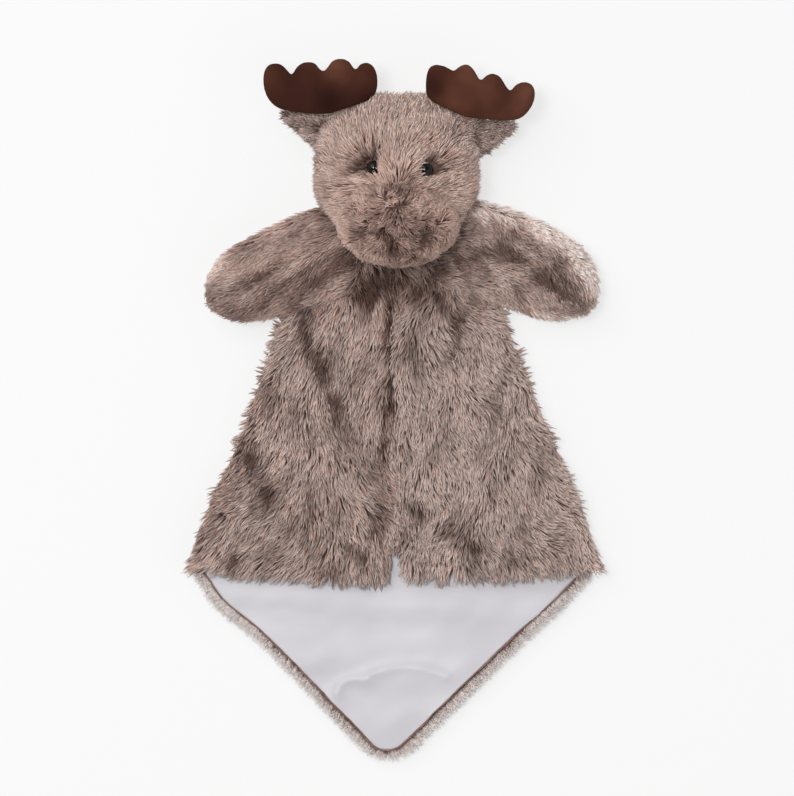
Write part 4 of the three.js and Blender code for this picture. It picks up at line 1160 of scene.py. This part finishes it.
def ear_shape(name, root, ahead, across):
    """A leaf that is widest near its root, comes to a soft point and is cupped towards the front."""
    def shape(points):
        u = (points[:, 2] + 1) / 2
        ring = rows(points[:, 1], -points[:, 0])
        girth = np.linalg.norm(ring, axis=1)[:, None]
        ring = np.where(girth > 1e-6, ring / np.maximum(girth, 1e-6), ring)
        swell = np.sqrt(np.maximum(0, 1 - u ** 3)) * (1 - 0.55 * grade(u, 0.3, 1)) * np.sqrt(grade(u, -0.02, 0.1))
        aside = ring[:, 0] * (ear_half_width[name] - ear_leaf_inset) * swell
        cup = ear_cup * (1 - ring[:, 0] ** 2) * np.sin(math.pi * np.minimum(1, u + 0.2))
        along = -6 + u * (ear_length[name] + 1.5)
        height = ring[:, 1] * ear_thick * swell - cup
        return root + ahead * along[:, None] + across * aside[:, None] + rows(0, 0, height)
    return shape


for name, side in side_of.items():
    lift = math.radians(ear_lift[name])
    ahead = Vector((side * math.cos(lift), math.sin(lift), 0))
    across = Vector((-ahead.y, ahead.x, 0)) * side
    root = Vector(ear_root[name])
    leaf = ball_skin(f"ear_leaf_{name}", 0, 1, ear_shape(name, *map(np.array, (root, ahead, across))), 32, 24)
    edit_all(bpy.ops.mesh.normals_make_consistent, inside=False)
    roots, ways = scatter(leaf, ear_locks, 131 + side, from_ball=True)
    out = unit(roots - np.array(root))
    flow = 0.8 * np.array(ahead) + 0.5 * out + np.array([0, -0.25, 0])
    rng = np.random.default_rng(135 + side)
    shades = 0.58 + mottle(roots, 137, 0, 0.15, 0.15) + rng.normal(0, 0.15, len(roots)) - 0.12 * (ways[:, 2] > 0)
    pile = comb(f"ear_pile_{name}", roots, ways, flow, rng.uniform(4.5, 7.5, len(roots)),
                rng.uniform(0.6, 0.95, len(roots)), shades, 0.15, rise=(36, 4), sway=16, clump=2.5, gather=0.45,
                curl=0.06, seed=138 + side)
    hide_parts(f"ear_front_{name}", f"ear_back_{name}")
    for piece in (leaf, pile):
        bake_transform(piece)


# Antlers
# Two four-tined antlers, each a front and a back of dark brown suede cloth sewn edge to edge, turned and lightly
# stuffed, so they are fullest down the middle and drawn in at the seam.
add, end = new_finish("brown_suede")
here = add("ShaderNodeTexCoord").outputs["Object"]
nap = add("ShaderNodeTexNoise", {"Scale": 42.0, "Detail": 2.0, "Roughness": 0.5, "Vector": here}).outputs["Fac"]
grain = add("ShaderNodeTexNoise", {"Scale": 1800.0, "Detail": 2.0, "Vector": here}).outputs["Fac"]
across = add("ShaderNodeSeparateXYZ", {"Vector": here}).outputs["X"]


def reckon(operation, *values):
    return add("ShaderNodeMath", dict(enumerate(values)), operation=operation).outputs[0]


tone = reckon("MULTIPLY_ADD", nap, 0.9, reckon("MULTIPLY_ADD", across, 2.2, 0.35))
antler_front_z = 35
# Paler tine middles and darker rims and hollows: painted light and shade of the stuffed relief.
antler_painted_relief = [
    ((272, 80), 13, 0.15), ((338, 70), 12, 0.25), ((332, 102), 14, -0.35), ((371, 96), 10, -0.25),
    ((432, 86), 11, -0.4), ((466, 74), 9, 0.12), ((484, 92), 13, 0.22), ((526, 92), 9, 0.12),
]
for place, reach, strength in antler_painted_relief:
    middle = (*(at_pixel(*place, antler_front_z) * mm), antler_front_z * mm)
    away = add("ShaderNodeVectorMath", {0: here, 1: middle}, operation="DISTANCE").outputs["Value"]
    fade = add("ShaderNodeMapRange", {"Value": away, "From Max": reach * mm, "To Min": strength, "To Max": 0.0},
               interpolation_type="SMOOTHSTEP")
    tone = reckon("ADD", tone, fade.outputs["Result"])
lightest_tone = 1.25
brown = [(0.35, colour(38, 15, 10)), (0.7, colour(58, 29, 20)), (1.0, colour(80, 46, 34)), (1.2, colour(98, 62, 48))]
brown = [(place / lightest_tone, stop_colour) for place, stop_colour in brown]
suede = end({
    "Base Color": ramp(add, reckon("DIVIDE", tone, lightest_tone), brown), "Normal": raised(add, grain, 0.35, 0.0002),
    "Roughness": 0.85, "Specular IOR Level": 0.12, "Sheen Weight": 0.12, "Sheen Roughness": 0.4,
    "Sheen Tint": (0.6, 0.38, 0.3, 1),
})
antler_cut_thick = 3.2
stuffing_steps = 24
antler_half = 4.9
antler_z = 31
antler_outline = {
    "left": [
        (377.6, 80.6), (376.3, 72), (372.4, 65.3), (366.7, 62.6), (360, 64.3), (356.2, 69.6), (353.3, 67.6),
        (350.4, 63), (345.7, 59.6), (339, 58.6), (332.3, 61.1), (327.5, 67.2), (324.4, 71.2), (319.8, 69.1),
        (317.3, 65.7), (314.1, 62.8), (308.4, 61.9), (302.6, 62.8), (296.5, 67.2), (292, 74.6), (287.3, 70.1),
        (282.5, 65.3), (275.8, 63), (268.2, 65.3), (264.4, 71), (263, 80.6), (265.3, 93), (271, 102.6),
        (278.7, 108.4), (286.4, 110.8), (297.8, 112.6), (315.1, 114), (327, 114), (336, 111.8), (345, 108.6),
        (355, 105.5), (366, 101.6), (373, 96.8), (376.7, 90.2),
    ],
    "right": [
        (425.6, 84.4), (427, 73), (430.2, 66.8), (435.6, 64.7), (443.2, 65.7), (449.9, 68.9), (453.8, 71),
        (459.5, 66.3), (466.2, 64.3), (471.9, 67.2), (476.7, 74.4), (480.7, 80.4), (486.3, 75.4), (493, 73.5),
        (499.7, 76.4), (504, 82.5), (507.3, 88), (510.2, 91.4), (515, 85.4), (522.6, 82), (530.3, 83.4),
        (534.1, 88.3), (535.1, 95.9), (532.2, 105.5), (526.5, 113.6), (519.8, 118.6), (512.1, 120.4),
        (493, 119.8), (475.8, 118.5), (464.3, 116.6), (454.7, 112.6), (446.5, 109), (438.5, 105.2),
        (431.2, 100.7), (426.4, 94.6),
    ],
}
round_steps = 4
stuffing_scale = 20


def inflate(piece, fullest):
    """Stuffs a closed skin with air, as cloth at a large scale. It keeps its outline and swells to its fullest."""
    before = mesh_rows(piece.data)
    piece.data.transform(Matrix.Scale(stuffing_scale, 4))
    cloth = piece.modifiers.new("stuffing", "CLOTH")
    set_all(cloth.settings, quality=6, mass=0.15, use_pressure=True, uniform_pressure_force=60,
            tension_stiffness=15, compression_stiffness=8, bending_stiffness=0.5)
    cloth.settings.effector_weights.gravity = 0
    set_all(cloth.point_cache, frame_start=1, frame_end=stuffing_steps)
    for step in range(1, stuffing_steps + 1):
        bpy.context.scene.frame_set(step)
    bpy.ops.object.modifier_apply(modifier=cloth.name)
    bpy.context.scene.frame_set(1)
    after = mesh_rows(piece.data) / stuffing_scale
    swell = np.abs(after[:, 2]) / np.abs(after[:, 2]).max()
    before[:, 2] = np.sign(after[:, 2]) * fullest * swell ** 0.7
    move_points(piece.data, before)


for name in side_of:
    knots = [Vector(at_pixel(*place, antler_z)) for place in antler_outline[name]]
    outline = []
    for place, knot in enumerate(knots):
        before, after, beyond = knots[place - 1], knots[(place + 1) % len(knots)], knots[(place + 2) % len(knots)]
        for step in range(round_steps):
            t = step / round_steps
            outline.append(0.5 * (2 * knot + (after - before) * t
                                  + (2 * before - 5 * knot + 4 * after - beyond) * t * t
                                  + (3 * knot - before - 3 * after + beyond) * t ** 3))
    antler = start_piece(f"antler_{name}", bpy.ops.mesh.primitive_circle_add, vertices=len(outline), fill_type="NGON")
    for vertex, point in zip(antler.data.vertices, outline):
        vertex.co = (point.x * mm, point.y * mm, -antler_cut_thick / 2 * mm)
    edit_all(bpy.ops.mesh.extrude_region_move, TRANSFORM_OT_translate={"value": (0, 0, antler_cut_thick * mm)})
    edit_all(bpy.ops.mesh.normals_make_consistent, inside=False)
    modify(antler, "REMESH", mode="VOXEL", voxel_size=0.9 * mm)
    inflate(antler, antler_half * mm)
    modify(antler, "SMOOTH", factor=0.5, iterations=4)
    modify(antler, "SUBSURF", levels=1, render_levels=1)
    antler.data.transform(Matrix.Translation((0, 0, antler_z * mm)))
    bpy.ops.object.shade_smooth()
    antler.data.materials.append(suede)
    wad = wad_in(antler, f"antler_wad_{name}", 0.9, f"antler_fill_{name}")
    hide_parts(f"antler_front_{name}", f"antler_back_{name}")
    for piece in (antler, wad):
        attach(piece, f"antler_{name}")


# Neck
# Under the chin a disc of the fur closes the head's neck, and a strong thread draws the cover up round it.
thread = plain_finish(
    "brown_thread", "ShaderNodeTexWave", {"Scale": 600.0},
    [(0.2, colour(58, 40, 34)), (0.8, colour(92, 68, 60))], {"Roughness": 0.7}, bands_direction="DIAGONAL")
finish_of = {"stitch": thread, "thread": thread, "neck_disc": knit}
for node in bpy.context.scene.objects:
    if "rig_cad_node" not in node:
        continue
    for part, material in finish_of.items():
        if part in node.name:
            node.data.materials.clear()
            node.data.materials.append(material)
    if "neck_disc" in node.name:
        roots, ways = scatter(node, 900, 151, lambda points, ways: (ways[:, 1] < 0.3) * 1.0)
        flow = rows(roots[:, 0] - roots[:, 0].mean(), -6, -9)
        length = np.random.default_rng(152).uniform(5.0, 7.0, len(roots))
        neck_pile = comb("neck_pile", roots, ways, flow, length, 1.2, 0.7, 0.4, rise=(50, 20), sway=16, curl=0,
                         seed=153)
        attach(neck_pile, "head")
